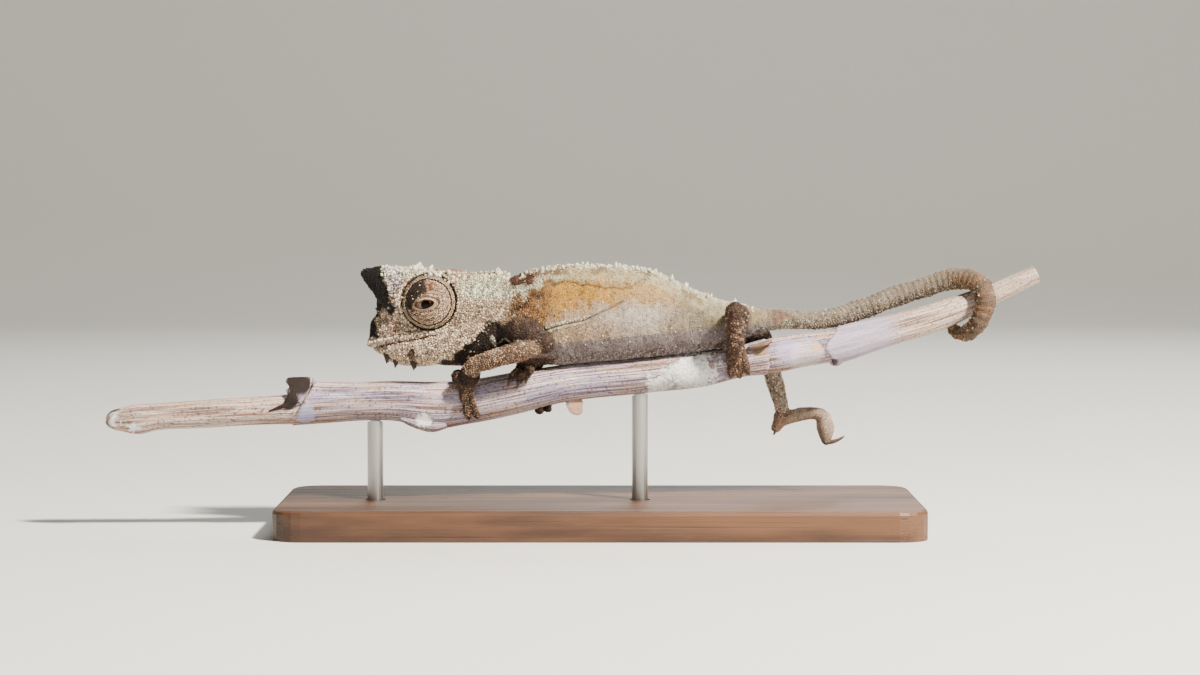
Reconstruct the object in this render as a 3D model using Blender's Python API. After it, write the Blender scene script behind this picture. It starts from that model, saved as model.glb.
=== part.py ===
import math
import random

import bmesh
import bpy
import numpy as np
from mathutils import Matrix, Vector
from mathutils.bvhtree import BVHTree

# All sizes are millimetres until each finished piece is brought to metres
MM = 0.001
GAP = 0.3
STEM_GAP = 0.2
SKIN_STEP = 0.9
FLAT_ENDS = (0.0, 0.0)

# Overall sizes of the animal, the cut stem and the stand
EYE_AT = Vector((-16.95, 0.0, 22.95))
TURRET_RADIUS = 2.75
TURRET_CENTRE_Y = 2.35
TURRET_REACH = 2.55
TURRET_ROOT = -1.2
EYEBALL_RADIUS = 1.1
EYEBALL_CENTRE_Y = 3.4
LID_HALF_LENGTH = 1.05
LID_HALF_HEIGHT = 0.62
NECK_END_X = -7.9
TORSO_END_X = 14.6
TAIL_CUTS = (8.6, 17.2, 23.6)
BASE_LENGTH = 64.0
BASE_WIDTH = 27.0
BASE_HEIGHT = 3.0
BASE_CENTRE_Y = 1.5
ROD_RADIUS = 0.8
ROD_FRONT_X = -22.5
ROD_BACK_X = 4.0
ROD_SOCKET = 1.8
TOE_RADIUS = 0.46
CLAW_LENGTH = 0.75
RANDOM_SEED = 11


# Start from an empty scene with one collection for the object and one for tools
for old in list(bpy.data.objects):
    bpy.data.objects.remove(old, do_unlink=True)
model = bpy.data.collections.new("leaf_chameleon")
tools = bpy.data.collections.new("tools")
bpy.context.scene.collection.children.link(model)
bpy.context.scene.collection.children.link(tools)


# Plain materials, one for each kind of surface
def surface(name, colour, roughness, metallic=0.0):
    material = bpy.data.materials.new(name)
    material.use_nodes = True
    shader = material.node_tree.nodes["Principled BSDF"]
    shader.inputs["Base Color"].default_value = (*colour, 1.0)
    shader.inputs["Roughness"].default_value = roughness
    shader.inputs["Metallic"].default_value = metallic
    return material


HEAD_SKIN = surface("head_skin", (0.50, 0.38, 0.27), 0.75)
BODY_SKIN = surface("body_skin", (0.52, 0.40, 0.26), 0.75)
TAIL_SKIN = surface("tail_skin", (0.26, 0.21, 0.15), 0.8)
LIMB_SKIN = surface("limb_skin", (0.20, 0.12, 0.07), 0.8)
LID_SKIN = surface("lid_skin", (0.42, 0.30, 0.21), 0.7)
EYE = surface("eye", (0.03, 0.02, 0.015), 0.15)
DRY_STEM = surface("dry_stem", (0.58, 0.52, 0.50), 0.8)
STAND_WOOD = surface("stand_wood", (0.16, 0.09, 0.05), 0.45)
STAND_STEEL = surface("stand_steel", (0.55, 0.55, 0.55), 0.3, 1.0)


# A course is a smooth centre line that carries a half width, a rise above and a drop below it
class Course:
    def __init__(self, rows, side=(0.0, 1.0, 0.0), power=2.0, upright=False):
        rows = np.array(rows, dtype=float)
        hops = np.linalg.norm(np.diff(rows[:, :3], axis=0), axis=1)
        stops = np.concatenate(([0.0], np.cumsum(hops)))
        slopes = np.gradient(rows, stops, axis=0)
        self.length = float(stops[-1])
        self.power = power
        count = max(8, int(self.length / 0.1))
        self.steps = np.linspace(0.0, self.length, count + 1)
        cell = np.clip(np.searchsorted(stops, self.steps, side="right") - 1, 0, len(hops) - 1)
        span = hops[cell]
        part = ((self.steps - stops[cell]) / span)[:, None]
        span = span[:, None]
        self.rows = (
            (2 * part**3 - 3 * part**2 + 1) * rows[cell]
            + (part**3 - 2 * part**2 + part) * span * slopes[cell]
            + (3 * part**2 - 2 * part**3) * rows[cell + 1]
            + (part**3 - part**2) * span * slopes[cell + 1]
        )
        ahead = np.gradient(self.rows[:, :3], self.steps, axis=0)
        if upright:
            ahead[:, 1:] = 0.0
        self.ahead = ahead / np.linalg.norm(ahead, axis=1)[:, None]
        sides = [np.array(side, dtype=float)]
        for way in self.ahead:
            carried = sides[-1] - way * np.dot(sides[-1], way)
            sides.append(carried / np.linalg.norm(carried))
        self.sides = np.array(sides[1:])

    def at(self, distance):
        spot = [np.interp(distance, self.steps, column) for column in self.rows.T]
        way = Vector([np.interp(distance, self.steps, column) for column in self.ahead.T]).normalized()
        side = Vector([np.interp(distance, self.steps, column) for column in self.sides.T])
        side = (side - way * side.dot(way)).normalized()
        return Vector(spot[:3]), way, side, side.cross(way) * -1.0, spot[3:]

    def reach(self, x):
        return float(np.interp(x, self.rows[:, 0], self.steps))


def ring_of(course, distance, around, grow, shrink, shift):
    centre, way, side, up, (half, rise, drop) = course.at(distance)
    centre = centre + way * shift
    ring = []
    for k in range(around):
        turn = 2.0 * math.pi * (k + 0.5) / around
        across = math.copysign(abs(math.cos(turn)) ** (2.0 / course.power), math.cos(turn))
        high = math.copysign(abs(math.sin(turn)) ** (2.0 / course.power), math.sin(turn))
        tall = rise if high > 0 else drop
        ring.append(centre + side * across * (half + grow) * shrink + up * high * (tall + grow) * shrink)
    return ring


# A closed body along a course, with flat or domed ends
def loft(name, course, start=0.0, end=None, around=16, step=SKIN_STEP, domes=FLAT_ENDS, grow=0.0, extend=0.0):
    end = course.length if end is None else end
    count = max(2, int(round((end - start) / step)))
    stops = [start + (end - start) * k / count for k in range(count + 1)]
    rings = []
    for share in (0.98, 0.8, 0.45):
        if domes[0]:
            shrink = math.sqrt(1.0 - share * share)
            rings.append(ring_of(course, start, around, grow, shrink, -share * (domes[0] + grow)))
    for stop in stops:
        shift = -extend if stop == start else extend if stop == end else 0.0
        rings.append(ring_of(course, stop, around, grow, 1.0, shift))
    for share in (0.45, 0.8, 0.98):
        if domes[1]:
            shrink = math.sqrt(1.0 - share * share)
            rings.append(ring_of(course, end, around, grow, shrink, share * (domes[1] + grow)))
    work = bmesh.new()
    loops = [[work.verts.new(point) for point in ring] for ring in rings]
    for lower, upper in zip(loops, loops[1:]):
        for k in range(around):
            n = (k + 1) % around
            work.faces.new((lower[k], lower[n], upper[n], upper[k]))
    work.faces.new(loops[0][::-1])
    work.faces.new(loops[-1])
    bmesh.ops.recalc_face_normals(work, faces=work.faces)
    mesh = bpy.data.meshes.new(name)
    work.to_mesh(mesh)
    work.free()
    body = bpy.data.objects.new(name, mesh)
    tools.objects.link(body)
    return body


def ball(name, centre, radii, around=24, rows=12):
    work = bmesh.new()
    bmesh.ops.create_uvsphere(work, u_segments=around, v_segments=rows, radius=1.0)
    bmesh.ops.rotate(work, verts=work.verts, matrix=Matrix.Rotation(math.pi / 2, 3, "X"))
    bmesh.ops.scale(work, verts=work.verts, vec=radii)
    bmesh.ops.translate(work, verts=work.verts, vec=centre)
    mesh = bpy.data.meshes.new(name)
    work.to_mesh(mesh)
    work.free()
    body = bpy.data.objects.new(name, mesh)
    tools.objects.link(body)
    return body


# Joining and cutting, each applied at once
def settle(body):
    depsgraph = bpy.context.evaluated_depsgraph_get()
    shaped = bpy.data.meshes.new_from_object(body.evaluated_get(depsgraph))
    body.modifiers.clear()
    body.data = shaped
    keep_largest(body)


def keep_largest(body):
    work = bmesh.new()
    work.from_mesh(body.data)
    bmesh.ops.remove_doubles(work, verts=work.verts, dist=0.002)
    bmesh.ops.dissolve_degenerate(work, edges=work.edges, dist=0.002)
    left = set(work.verts)
    groups = []
    while left:
        queue = [left.pop()]
        group = set(queue)
        while queue:
            for edge in queue.pop().link_edges:
                for vert in edge.verts:
                    if vert not in group:
                        group.add(vert)
                        left.discard(vert)
                        queue.append(vert)
        groups.append(group)
    groups.sort(key=len)
    scraps = [vert for group in groups[:-1] for vert in group]
    bmesh.ops.delete(work, geom=scraps, context="VERTS")
    work.to_mesh(body.data)
    work.free()


def join(body, pieces, solver="EXACT"):
    group = bpy.data.collections.new(body.name + "_pieces")
    tools.children.link(group)
    for piece in pieces:
        group.objects.link(piece)
    union = body.modifiers.new("union", "BOOLEAN")
    union.operation = "UNION"
    union.operand_type = "COLLECTION"
    union.collection = group
    union.solver = solver
    settle(body)
    for piece in pieces:
        bpy.data.objects.remove(piece, do_unlink=True)
    bpy.data.collections.remove(group)
    return body


def cut(body, cutter, solver="EXACT"):
    carve = body.modifiers.new("carve", "BOOLEAN")
    carve.operation = "DIFFERENCE"
    carve.object = cutter
    carve.solver = solver
    settle(body)
    return body


def discard(*bodies):
    for body in bodies:
        bpy.data.objects.remove(body, do_unlink=True)


# Small pointed or rounded growths, each rooted well into the surface that it stands on
class Skin:
    def __init__(self, body):
        work = bmesh.new()
        work.from_mesh(body.data)
        self.tree = BVHTree.FromBMesh(work)
        work.free()

    def hit(self, start, way):
        spot, normal, face, distance = self.tree.ray_cast(Vector(start), Vector(way).normalized())
        return spot, normal


def spike(spot, way, root, length, sides=5, sink=0.25):
    work = bmesh.new()
    way = Vector(way).normalized()
    bmesh.ops.create_cone(work, cap_ends=True, segments=sides, radius1=root, radius2=0.0, depth=length + sink)
    turn = Vector((0.0, 0.0, 1.0)).rotation_difference(way).to_matrix()
    bmesh.ops.rotate(work, verts=work.verts, matrix=turn)
    bmesh.ops.translate(work, verts=work.verts, vec=Vector(spot) + way * ((length - sink) / 2))
    mesh = bpy.data.meshes.new("spike")
    work.to_mesh(mesh)
    work.free()
    body = bpy.data.objects.new("spike", mesh)
    tools.objects.link(body)
    return body


def finish(body, material, crease=40.0):
    body.data.transform(Matrix.Scale(MM, 4))
    body.data.materials.clear()
    body.data.materials.append(material)
    body.data.shade_smooth()
    body.data.set_sharp_from_angle(angle=math.radians(crease))
    for owner in list(body.users_collection):
        owner.objects.unlink(body)
    model.objects.link(body)
    return body


# The cut stem that the animal grips: a thin broken end, then a leaf sheath, a second sheath and the bare cane
STEM_ROWS = [
    (-48.6, 0.0, 11.0, 1.05, 1.0, 1.0),
    (-46.4, 0.0, 11.15, 1.5, 1.4, 1.6),
    (-44.6, 0.0, 11.3, 1.4, 1.35, 1.4),
    (-40.7, 0.0, 11.55, 1.4, 1.4, 1.4),
    (-30.0, 0.0, 12.15, 1.55, 1.5, 1.55),
]
SHEATH_ROWS = [
    (-29.6, 0.0, 12.6, 2.0, 2.2, 2.1),
    (-24.0, 0.0, 12.85, 1.95, 1.95, 1.95),
    (-20.2, 0.0, 12.9, 2.0, 2.0, 2.0),
    (-16.4, 0.0, 12.8, 2.1, 2.0, 2.75),
    (-13.4, 0.0, 12.8, 2.15, 2.15, 2.2),
    (-9.4, 0.0, 13.5, 2.1, 2.1, 2.1),
    (-4.0, 0.0, 14.6, 1.9, 1.88, 1.9),
    (4.6, 0.0, 15.5, 1.85, 1.8, 1.8),
    (9.8, 0.0, 16.1, 1.8, 1.8, 1.85),
    (14.7, 0.3, 16.95, 1.65, 1.6, 1.6),
    (16.6, 0.5, 17.3, 1.8, 1.8, 1.8),
]
SECOND_ROWS = [
    (17.0, 0.55, 17.35, 1.7, 1.7, 1.7),
    (20.0, 1.05, 17.9, 1.7, 1.7, 1.7),
    (23.4, 1.75, 18.35, 1.8, 1.75, 2.15),
]
CANE_ROWS = [
    (23.8, 1.85, 18.45, 1.7, 1.7, 1.7),
    (27.0, 2.6, 19.2, 1.65, 1.7, 1.65),
    (30.0, 3.35, 20.0, 1.5, 1.5, 1.5),
    (35.2, 4.7, 21.5, 1.35, 1.4, 1.4),
    (39.4, 5.7, 23.2, 1.05, 1.05, 1.05),
    (44.4, 7.0, 25.3, 0.9, 0.9, 0.9),
]
WHOLE_STEM = Course(STEM_ROWS + SHEATH_ROWS + SECOND_ROWS[1:] + CANE_ROWS[1:])


def stem_at(x):
    centre, way, side, up, (half, rise, drop) = WHOLE_STEM.at(WHOLE_STEM.reach(x))
    return centre, max(half, rise, drop)


stub = Course(STEM_ROWS)
sheath = Course(SHEATH_ROWS)
second = Course(SECOND_ROWS)
cane = Course(CANE_ROWS)
finish(loft("perch_broken_end", stub, step=2.2, around=12, domes=(0.7, 0.0)), DRY_STEM)
# The sheath's torn mouth stands up as a curled lip, and a scrap of leaf hangs under it
sheath_body = loft("perch_sheath", sheath, step=2.4, around=16)
LIP_ROWS = [
    (-28.2, -1.2, 13.9, 0.5, 0.35, 0.35),
    (-29.4, -1.25, 14.6, 0.75, 0.32, 0.32),
    (-30.4, -1.2, 15.1, 0.5, 0.3, 0.3),
]
SCRAP_ROWS = [
    (-3.1, -0.3, 13.4, 1.1, 0.3, 0.3),
    (-2.8, -0.5, 12.4, 0.75, 0.28, 0.28),
    (-2.2, -0.6, 11.6, 0.3, 0.26, 0.26),
]
lip = loft("lip", Course(LIP_ROWS), step=0.8, around=8, domes=(0.2, 0.2))
scrap = loft("scrap", Course(SCRAP_ROWS, (1.0, 0.0, 0.0)), step=0.8, around=8, domes=(0.2, 0.2))
finish(join(sheath_body, [lip, scrap]), DRY_STEM)
finish(loft("perch_second_sheath", second, step=1.8, around=14), DRY_STEM)
finish(loft("perch_cane", cane, step=2.6, around=12), DRY_STEM)
stem_cutters = [
    loft("sheath_cutter", sheath, step=2.4, around=16, grow=STEM_GAP, extend=0.2),
    loft("second_cutter", second, step=1.8, around=14, grow=STEM_GAP, extend=0.2),
    loft("cane_cutter", cane, step=2.6, around=12, grow=STEM_GAP, extend=0.1),
]


def clear_of_stem(body, which=(0,)):
    for number in which:
        cut(body, stem_cutters[number])
    return body


# The head: braincase and casque, snout with both jaws, and a pointed brow over each eye
BRAINCASE = Course(
    [
        (-21.9, 0.0, 23.2, 1.1, 1.6, 1.6),
        (-20.9, 0.0, 23.0, 2.4, 2.6, 2.5),
        (-19.2, 0.0, 22.9, 3.0, 3.1, 3.0),
        (-16.9, 0.0, 22.6, 3.5, 3.6, 3.4),
        (-14.2, 0.0, 22.4, 3.9, 3.65, 3.4),
        (-11.8, 0.0, 22.9, 3.8, 3.1, 3.0),
        (-10.2, 0.0, 23.6, 3.3, 2.4, 2.2),
        (-9.1, 0.0, 24.0, 2.7, 1.9, 1.7),
    ],
    power=2.6,
)
JAWS = Course(
    [
        (-22.95, 0.0, 18.7, 0.9, 0.6, 0.75),
        (-22.5, 0.0, 18.85, 1.3, 2.1, 1.1),
        (-21.9, 0.0, 19.0, 1.85, 2.75, 1.7),
        (-20.9, 0.0, 19.1, 2.4, 3.2, 2.35),
        (-18.4, 0.0, 19.2, 3.1, 3.3, 2.8),
        (-16.0, 0.0, 19.4, 3.5, 2.8, 2.8),
        (-13.8, 0.0, 20.1, 3.7, 2.6, 2.5),
        (-11.6, 0.0, 21.4, 3.4, 2.2, 2.0),
        (-10.2, 0.0, 22.4, 2.9, 1.8, 1.5),
    ],
    power=2.5,
)


def brow_course(hand):
    return Course(
        [
            (-16.6, hand * 2.3, 24.0, 1.2, 1.8, 2.0),
            (-18.6, hand * 2.3, 24.1, 1.3, 2.0, 2.2),
            (-20.4, hand * 2.2, 24.1, 1.25, 2.0, 2.1),
            (-21.6, hand * 2.05, 24.35, 0.95, 1.8, 2.15),
            (-22.6, hand * 1.9, 24.95, 0.6, 1.2, 1.35),
            (-23.75, hand * 1.8, 25.8, 0.18, 0.3, 0.3),
        ],
        power=2.2,
        upright=True,
    )


def build_head(name, grow, fine):
    around = 22 if fine else 18
    step = 1.1 if fine else 1.3
    head = loft(name, BRAINCASE, step=step, around=around, domes=(0.4, 0.5), grow=grow)
    pieces = [loft("jaws", JAWS, step=step, around=around, domes=(0.35, 0.5), grow=grow)]
    for hand in (-1, 1):
        pieces.append(loft("brow", brow_course(hand), step=0.9, around=10, domes=(0.3, 0.25), grow=grow))
    return join(head, pieces)


head = build_head("head", 0.0, True)
head_cutter = build_head("head_cutter", GAP, False)

# Brow and crest tubercles as (x, distance from the midline, root, length), then the casque's rear points
CREST = [
    (-20.3, 2.3, 0.42, 0.35),
    (-19.2, 2.5, 0.45, 0.4),
    (-18.3, 2.5, 0.5, 0.55),
    (-17.3, 2.4, 0.42, 0.4),
    (-16.5, 2.5, 0.5, 0.7),
    (-15.7, 2.6, 0.45, 0.5),
    (-14.9, 2.7, 0.45, 0.45),
    (-14.1, 3.0, 0.45, 0.4),
]
CASQUE = [
    (-12.9, 2.4, 0.42, 0.35),
    (-11.6, 2.2, 0.45, 0.4),
    (-10.3, 1.7, 0.55, 0.6),
    (-9.4, 1.2, 0.5, 0.5),
    (-13.4, 0.9, 0.42, 0.3),
    (-11.4, 0.7, 0.42, 0.35),
]
CHIN = [(-21.15, 1.25, 0.5, 0.85), (-20.3, 1.5, 0.45, 0.75), (-18.5, 1.7, 0.5, 0.9)]
# Ragged rear edge of the cheek, and rows on the temple and lips, as (x, z, root, length)
CHEEK = [
    (-9.7, 21.7, 0.45, 0.4),
    (-10.6, 20.9, 0.45, 0.45),
    (-11.8, 20.1, 0.45, 0.5),
    (-13.1, 18.9, 0.45, 0.45),
    (-14.4, 18.0, 0.42, 0.4),
    (-15.7, 17.3, 0.42, 0.35),
]
TEMPLE = [
    (-13.0, 24.7, 0.4, 0.3),
    (-11.6, 24.2, 0.4, 0.28),
    (-10.4, 23.9, 0.42, 0.3),
    (-12.4, 23.1, 0.4, 0.25),
]
LIPS = [
    (-21.9, 19.15, 0.5, 0.3),
    (-22.45, 18.6, 0.5, 0.3),
    (-20.9, 19.6, 0.4, 0.22),
    (-19.6, 18.3, 0.4, 0.2),
]
MOUTH = ((-23.0, 18.2), (-22.2, 18.35), (-21.2, 18.6), (-20.0, 18.9), (-18.2, 19.2), (-16.4, 19.6))
NOSTRIL_AT = (-20.4, 20.1)
NOSTRIL_RADIUS = 0.28

head_skin = Skin(head)
growths = []
grooves = []
for hand in (-1, 1):
    for x, out, root, length in CREST + CASQUE:
        spot, normal = head_skin.hit((x, hand * out, 32.0), (0.0, 0.0, -1.0))
        growths.append(spike(spot, normal + Vector((0.0, hand * 0.3, 1.0)), root, length))
    for x, out, root, length in CHIN:
        spot, normal = head_skin.hit((x, hand * out, 10.0), (0.0, 0.0, 1.0))
        growths.append(spike(spot, (0.05, hand * 0.1, -1.0), root, length, sides=6))
    for x, z, root, length in CHEEK + TEMPLE + LIPS:
        spot, normal = head_skin.hit((x, hand * 9.0, z), (0.0, -hand, 0.0))
        lean = 0.8 if (x, z, root, length) in CHEEK else 0.0
        growths.append(spike(spot, normal + Vector((lean, 0.0, 0.0)), root, length))
    spot, normal = head_skin.hit((NOSTRIL_AT[0], hand * 9.0, NOSTRIL_AT[1]), (0.0, -hand, 0.0))
    growths.append(ball("nostril_rim", spot - normal * 0.1, (0.55, 0.4, 0.55), 10, 6))
    grooves.append(ball("nostril_pit", spot + normal * 0.3, (NOSTRIL_RADIUS,) * 3, 8, 6))
    line = []
    for x, z in MOUTH:
        spot, normal = head_skin.hit((x, hand * 9.0, z), (0.0, -hand, 0.0))
        line.append((*(spot + normal * 0.02), 0.16, 0.13, 0.13))
    grooves.append(loft("mouth_groove", Course(line), step=1.0, around=6, domes=(0.1, 0.1)))
join(head, growths)
for groove in grooves:
    cut(head, groove)
discard(*grooves)


# Eye turrets seated in round sockets, each with an eyeball behind its lids
def turret_profile():
    rows = 7
    points = []
    for k in range(rows + 1):
        turn = math.pi / 2 * k / rows
        fold = 1.0 + 0.025 * math.cos(8.0 * turn)
        points.append((max(0.0, TURRET_RADIUS * math.cos(turn) * fold), TURRET_REACH * math.sin(turn)))
    points[-1] = (0.0, TURRET_REACH)
    return points


# A turret is its profile spun about the eye's line, from a pole inside the head to the pole outside
def build_turret(name, hand, grow, around=24):
    work = bmesh.new()
    profile = [(0.0, TURRET_ROOT), (TURRET_RADIUS * 0.9, TURRET_ROOT)] + turret_profile()
    line = []
    for radius, height in profile:
        wide = radius + grow if radius > 0.01 else 0.0
        out = TURRET_CENTRE_Y + height + (grow if height > 0.0 else -grow)
        line.append(work.verts.new((EYE_AT.x + wide, hand * out, EYE_AT.z)))
    edges = [work.edges.new(pair) for pair in zip(line, line[1:])]
    bmesh.ops.spin(
        work,
        geom=line + edges,
        cent=EYE_AT,
        axis=(0.0, 1.0, 0.0),
        angle=2.0 * math.pi,
        steps=around,
        use_merge=True,
    )
    bmesh.ops.remove_doubles(work, verts=work.verts, dist=0.0001)
    bmesh.ops.recalc_face_normals(work, faces=work.faces)
    mesh = bpy.data.meshes.new(name)
    work.to_mesh(mesh)
    work.free()
    body = bpy.data.objects.new(name, mesh)
    tools.objects.link(body)
    return body


for word, hand in (("left", -1), ("right", 1)):
    socket = build_turret("socket", hand, GAP)
    cut(head, socket)
    discard(socket)
    turret = build_turret("eye_turret_" + word, hand, 0.0)
    eye_at = Vector((EYE_AT.x + 0.1, hand * EYEBALL_CENTRE_Y, EYE_AT.z - 0.15))
    hollow = ball("hollow", eye_at, (EYEBALL_RADIUS + 0.15,) * 3, 14, 7)
    slit_rows = [
        (eye_at.x, hand * 3.9, eye_at.z, LID_HALF_LENGTH, LID_HALF_HEIGHT, LID_HALF_HEIGHT),
        (eye_at.x, hand * 5.4, eye_at.z, LID_HALF_LENGTH * 1.1, LID_HALF_HEIGHT * 1.1, LID_HALF_HEIGHT * 1.1),
    ]
    slit = loft("slit", Course(slit_rows, (1.0, 0.0, 0.0), power=1.4), step=1.5, around=14)
    cut(turret, join(hollow, [slit]))
    discard(hollow)
    finish(turret, LID_SKIN)
    finish(ball("eyeball_" + word, eye_at, (EYEBALL_RADIUS,) * 3, 14, 8), EYE)
finish(head, HEAD_SKIN)


# Neck, torso and tail along one course from the throat to the curled tip
TRUNK_ROWS = [
    (-16.6, 0.0, 17.9, 1.9, 1.5, 1.5),
    (-13.0, 0.0, 19.2, 2.7, 3.0, 3.0),
    (-10.0, 0.0, 20.6, 2.95, 4.1, 4.1),
    (-7.0, 0.0, 21.1, 3.05, 4.5, 4.5),
    (-4.5, 0.0, 21.4, 3.3, 4.85, 4.85),
    (-1.8, 0.0, 21.6, 3.4, 4.8, 4.9),
    (1.0, 0.0, 21.7, 3.4, 4.7, 4.8),
    (4.5, 0.0, 21.6, 3.3, 4.3, 4.3),
    (8.0, 0.05, 21.1, 3.0, 3.2, 3.4),
    (11.5, 0.15, 20.8, 2.7, 2.2, 2.5),
    (14.5, 0.35, 20.9, 2.0, 1.5, 1.7),
    (18.0, 0.9, 21.05, 1.15, 1.05, 1.1),
]
TAIL_ROWS = [
    (22.5, 2.7, 20.95, 1.02, 1.0, 1.0),
    (26.0, 4.6, 21.7, 1.05, 1.05, 1.05),
    (29.5, 5.7, 22.95, 1.1, 1.1, 1.1),
    (33.0, 6.1, 24.1, 1.1, 1.1, 1.1),
    (36.2, 5.6, 24.95, 1.1, 1.1, 1.1),
    (38.5, 3.9, 24.3, 1.08, 1.08, 1.08),
    (38.9, 2.9, 22.4, 1.05, 1.05, 1.05),
    (38.1, 3.2, 20.4, 0.95, 0.95, 0.95),
    (36.8, 4.9, 19.35, 0.8, 0.8, 0.8),
    (35.9, 6.4, 19.9, 0.6, 0.6, 0.6),
    (35.6, 7.1, 21.0, 0.42, 0.42, 0.42),
]
TRUNK = Course(TRUNK_ROWS + TAIL_ROWS, power=2.1)
neck_end = TRUNK.reach(NECK_END_X)
torso_end = TRUNK.reach(TORSO_END_X)
neck = loft("neck", TRUNK, 0.0, neck_end, around=18, step=1.2, domes=(0.5, 0.0))
finish(clear_of_stem(cut(neck, head_cutter)), BODY_SKIN)
torso = loft("torso", TRUNK, neck_end + GAP, torso_end, around=24, step=1.2)
torso_skin = Skin(torso)
chance = random.Random(RANDOM_SEED)


def back_rows(first, last, spacing, out, root, tall):
    rows = []
    x = first
    while x < last:
        for hand in (-1, 1):
            spot_x = x + chance.uniform(-0.2, 0.2) + hand * spacing / 4
            size = chance.uniform(0.75, 1.25)
            spot, normal = torso_skin.hit((spot_x, hand * out, 34.0), (0.0, 0.0, -1.0))
            lean = normal + Vector((0.0, hand * 0.1, 0.8))
            rows.append(spike(spot, lean, root * min(size, 1.0), tall * size))
        x += spacing
    return rows


RIDGE = back_rows(-6.8, 13.6, 1.7, 0.75, 0.5, 0.55)
SHOULDER_ROWS = back_rows(-6.9, 11.0, 2.3, 2.0, 0.45, 0.35)
join(torso, RIDGE + SHOULDER_ROWS)
finish(clear_of_stem(torso), BODY_SKIN)
torso_cutter = loft("torso_cutter", TRUNK, 2.0, torso_end + 6.0, around=24, step=1.2, grow=GAP, extend=0.2)
tail_start = torso_end + GAP
tail_stops = [tail_start] + [tail_start + reach for reach in TAIL_CUTS] + [TRUNK.length]
tail_names = ("tail_base", "tail_middle", "tail_bend", "tail_tip")
for number, name in enumerate(tail_names):
    last = number == len(tail_names) - 1
    start = tail_stops[number] + (GAP if number else 0.0)
    ends = (0.0, 0.4 if last else 0.0)
    length = loft(name, TRUNK, start, tail_stops[number + 1], around=12, step=1.0, domes=ends)
    finish(clear_of_stem(length, ((0, 1), (1, 2), (2,), (2,))[number]), TAIL_SKIN)


# Limbs: two tapering lengths and a foot of two opposed bundles of toes
def limb(name, ends, radii, bulge, cutters, domes):
    start, end = (Vector(point) for point in ends)
    middle = start.lerp(end, 0.4)
    thick = max(radii) * bulge
    rows = [
        (*start, radii[0], radii[0], radii[0]),
        (*middle, thick, thick, thick),
        (*end, radii[1], radii[1], radii[1]),
    ]
    way = (end - start).normalized()
    side = way.cross(Vector((0.0, 0.0, 1.0)))
    if side.length < 0.2:
        side = Vector((0.0, 1.0, 0.0))
    body = loft(name, Course(rows, side.normalized()), step=1.2, around=10, domes=domes)
    for cutter in cutters:
        cut(body, cutter)
    return body


# One toe bundle laid round the stem, from one angle to another, as a tapering lobe
def wrapped(x, turns, slide, radii, steps=6):
    rows = []
    for k in range(steps + 1):
        share = k / steps
        turn = math.radians(turns[0] + (turns[1] - turns[0]) * share)
        centre, thick = stem_at(x + slide * share)
        radius = radii[0] + (radii[1] - radii[0]) * share
        out = thick + STEM_GAP + radius * 0.92
        spot = centre + Vector((0.0, -math.cos(turn) * out, math.sin(turn) * out))
        rows.append((*spot, radius, radius, radius))
    toe = Course(rows, (1.0, 0.0, 0.0))
    tip, way, side, up, sizes = toe.at(toe.length)
    inward = (stem_at(x + slide)[0] - tip).normalized()
    claw = spike(tip, way * 0.9 + inward * 0.15, radii[1] * 0.85, CLAW_LENGTH, sink=0.3)
    return [loft("toe", toe, step=1.0, around=8, domes=(radii[0] * 0.8, radii[1] * 0.9)), claw]


# A bundle of two or three toes side by side, the middle one a little longer
def bundle(x, turns, slide, count, spread=1.55):
    pieces = []
    for k in range(count):
        side = k - (count - 1) / 2
        reach = turns[1] - math.copysign(9.0, turns[1] - turns[0]) * abs(side)
        across = side * TOE_RADIUS * spread
        sizes = (TOE_RADIUS * 1.2, TOE_RADIUS * 0.8)
        pieces += wrapped(x + across * 0.7, (turns[0], reach), slide + across * 0.5, sizes)
    return pieces


def foot(name, x, palm_turn, palm_radius, lobes, cutters, which=(0,)):
    centre, thick = stem_at(x)
    turn = math.radians(palm_turn)
    out = thick + STEM_GAP + palm_radius * 0.75
    spot = centre + Vector((0.0, -math.cos(turn) * out, math.sin(turn) * out))
    body = ball(name, spot, (palm_radius * 1.15, palm_radius, palm_radius), 10, 6)
    pieces = [piece for ends, slide, count in lobes for piece in bundle(x, (palm_turn, ends), slide, count)]
    join(body, pieces)
    clear_of_stem(body, which)
    for cutter in cutters:
        cut(body, cutter)
    return body


ELBOW_LEFT = (-5.4, -4.5, 18.9)
WRIST_LEFT = (-12.5, -3.8, 16.7)
ELBOW_RIGHT = (-5.6, 4.5, 18.9)
WRIST_RIGHT = (-6.9, 2.9, 17.0)
KNEE_LEFT = (13.3, -4.6, 22.0)
ANKLE_LEFT = (13.5, -3.35, 18.3)
KNEE_RIGHT = (17.2, 5.3, 16.4)
ANKLE_RIGHT = (18.6, 5.9, 11.6)


def grown_limb(ends, radii, bulge, domes):
    start, end = (Vector(point) for point in ends)
    grown = tuple(radius + GAP for radius in radii)
    return limb("limb_cutter", (start, end), grown, bulge, [], tuple(dome + GAP for dome in domes))


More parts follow.
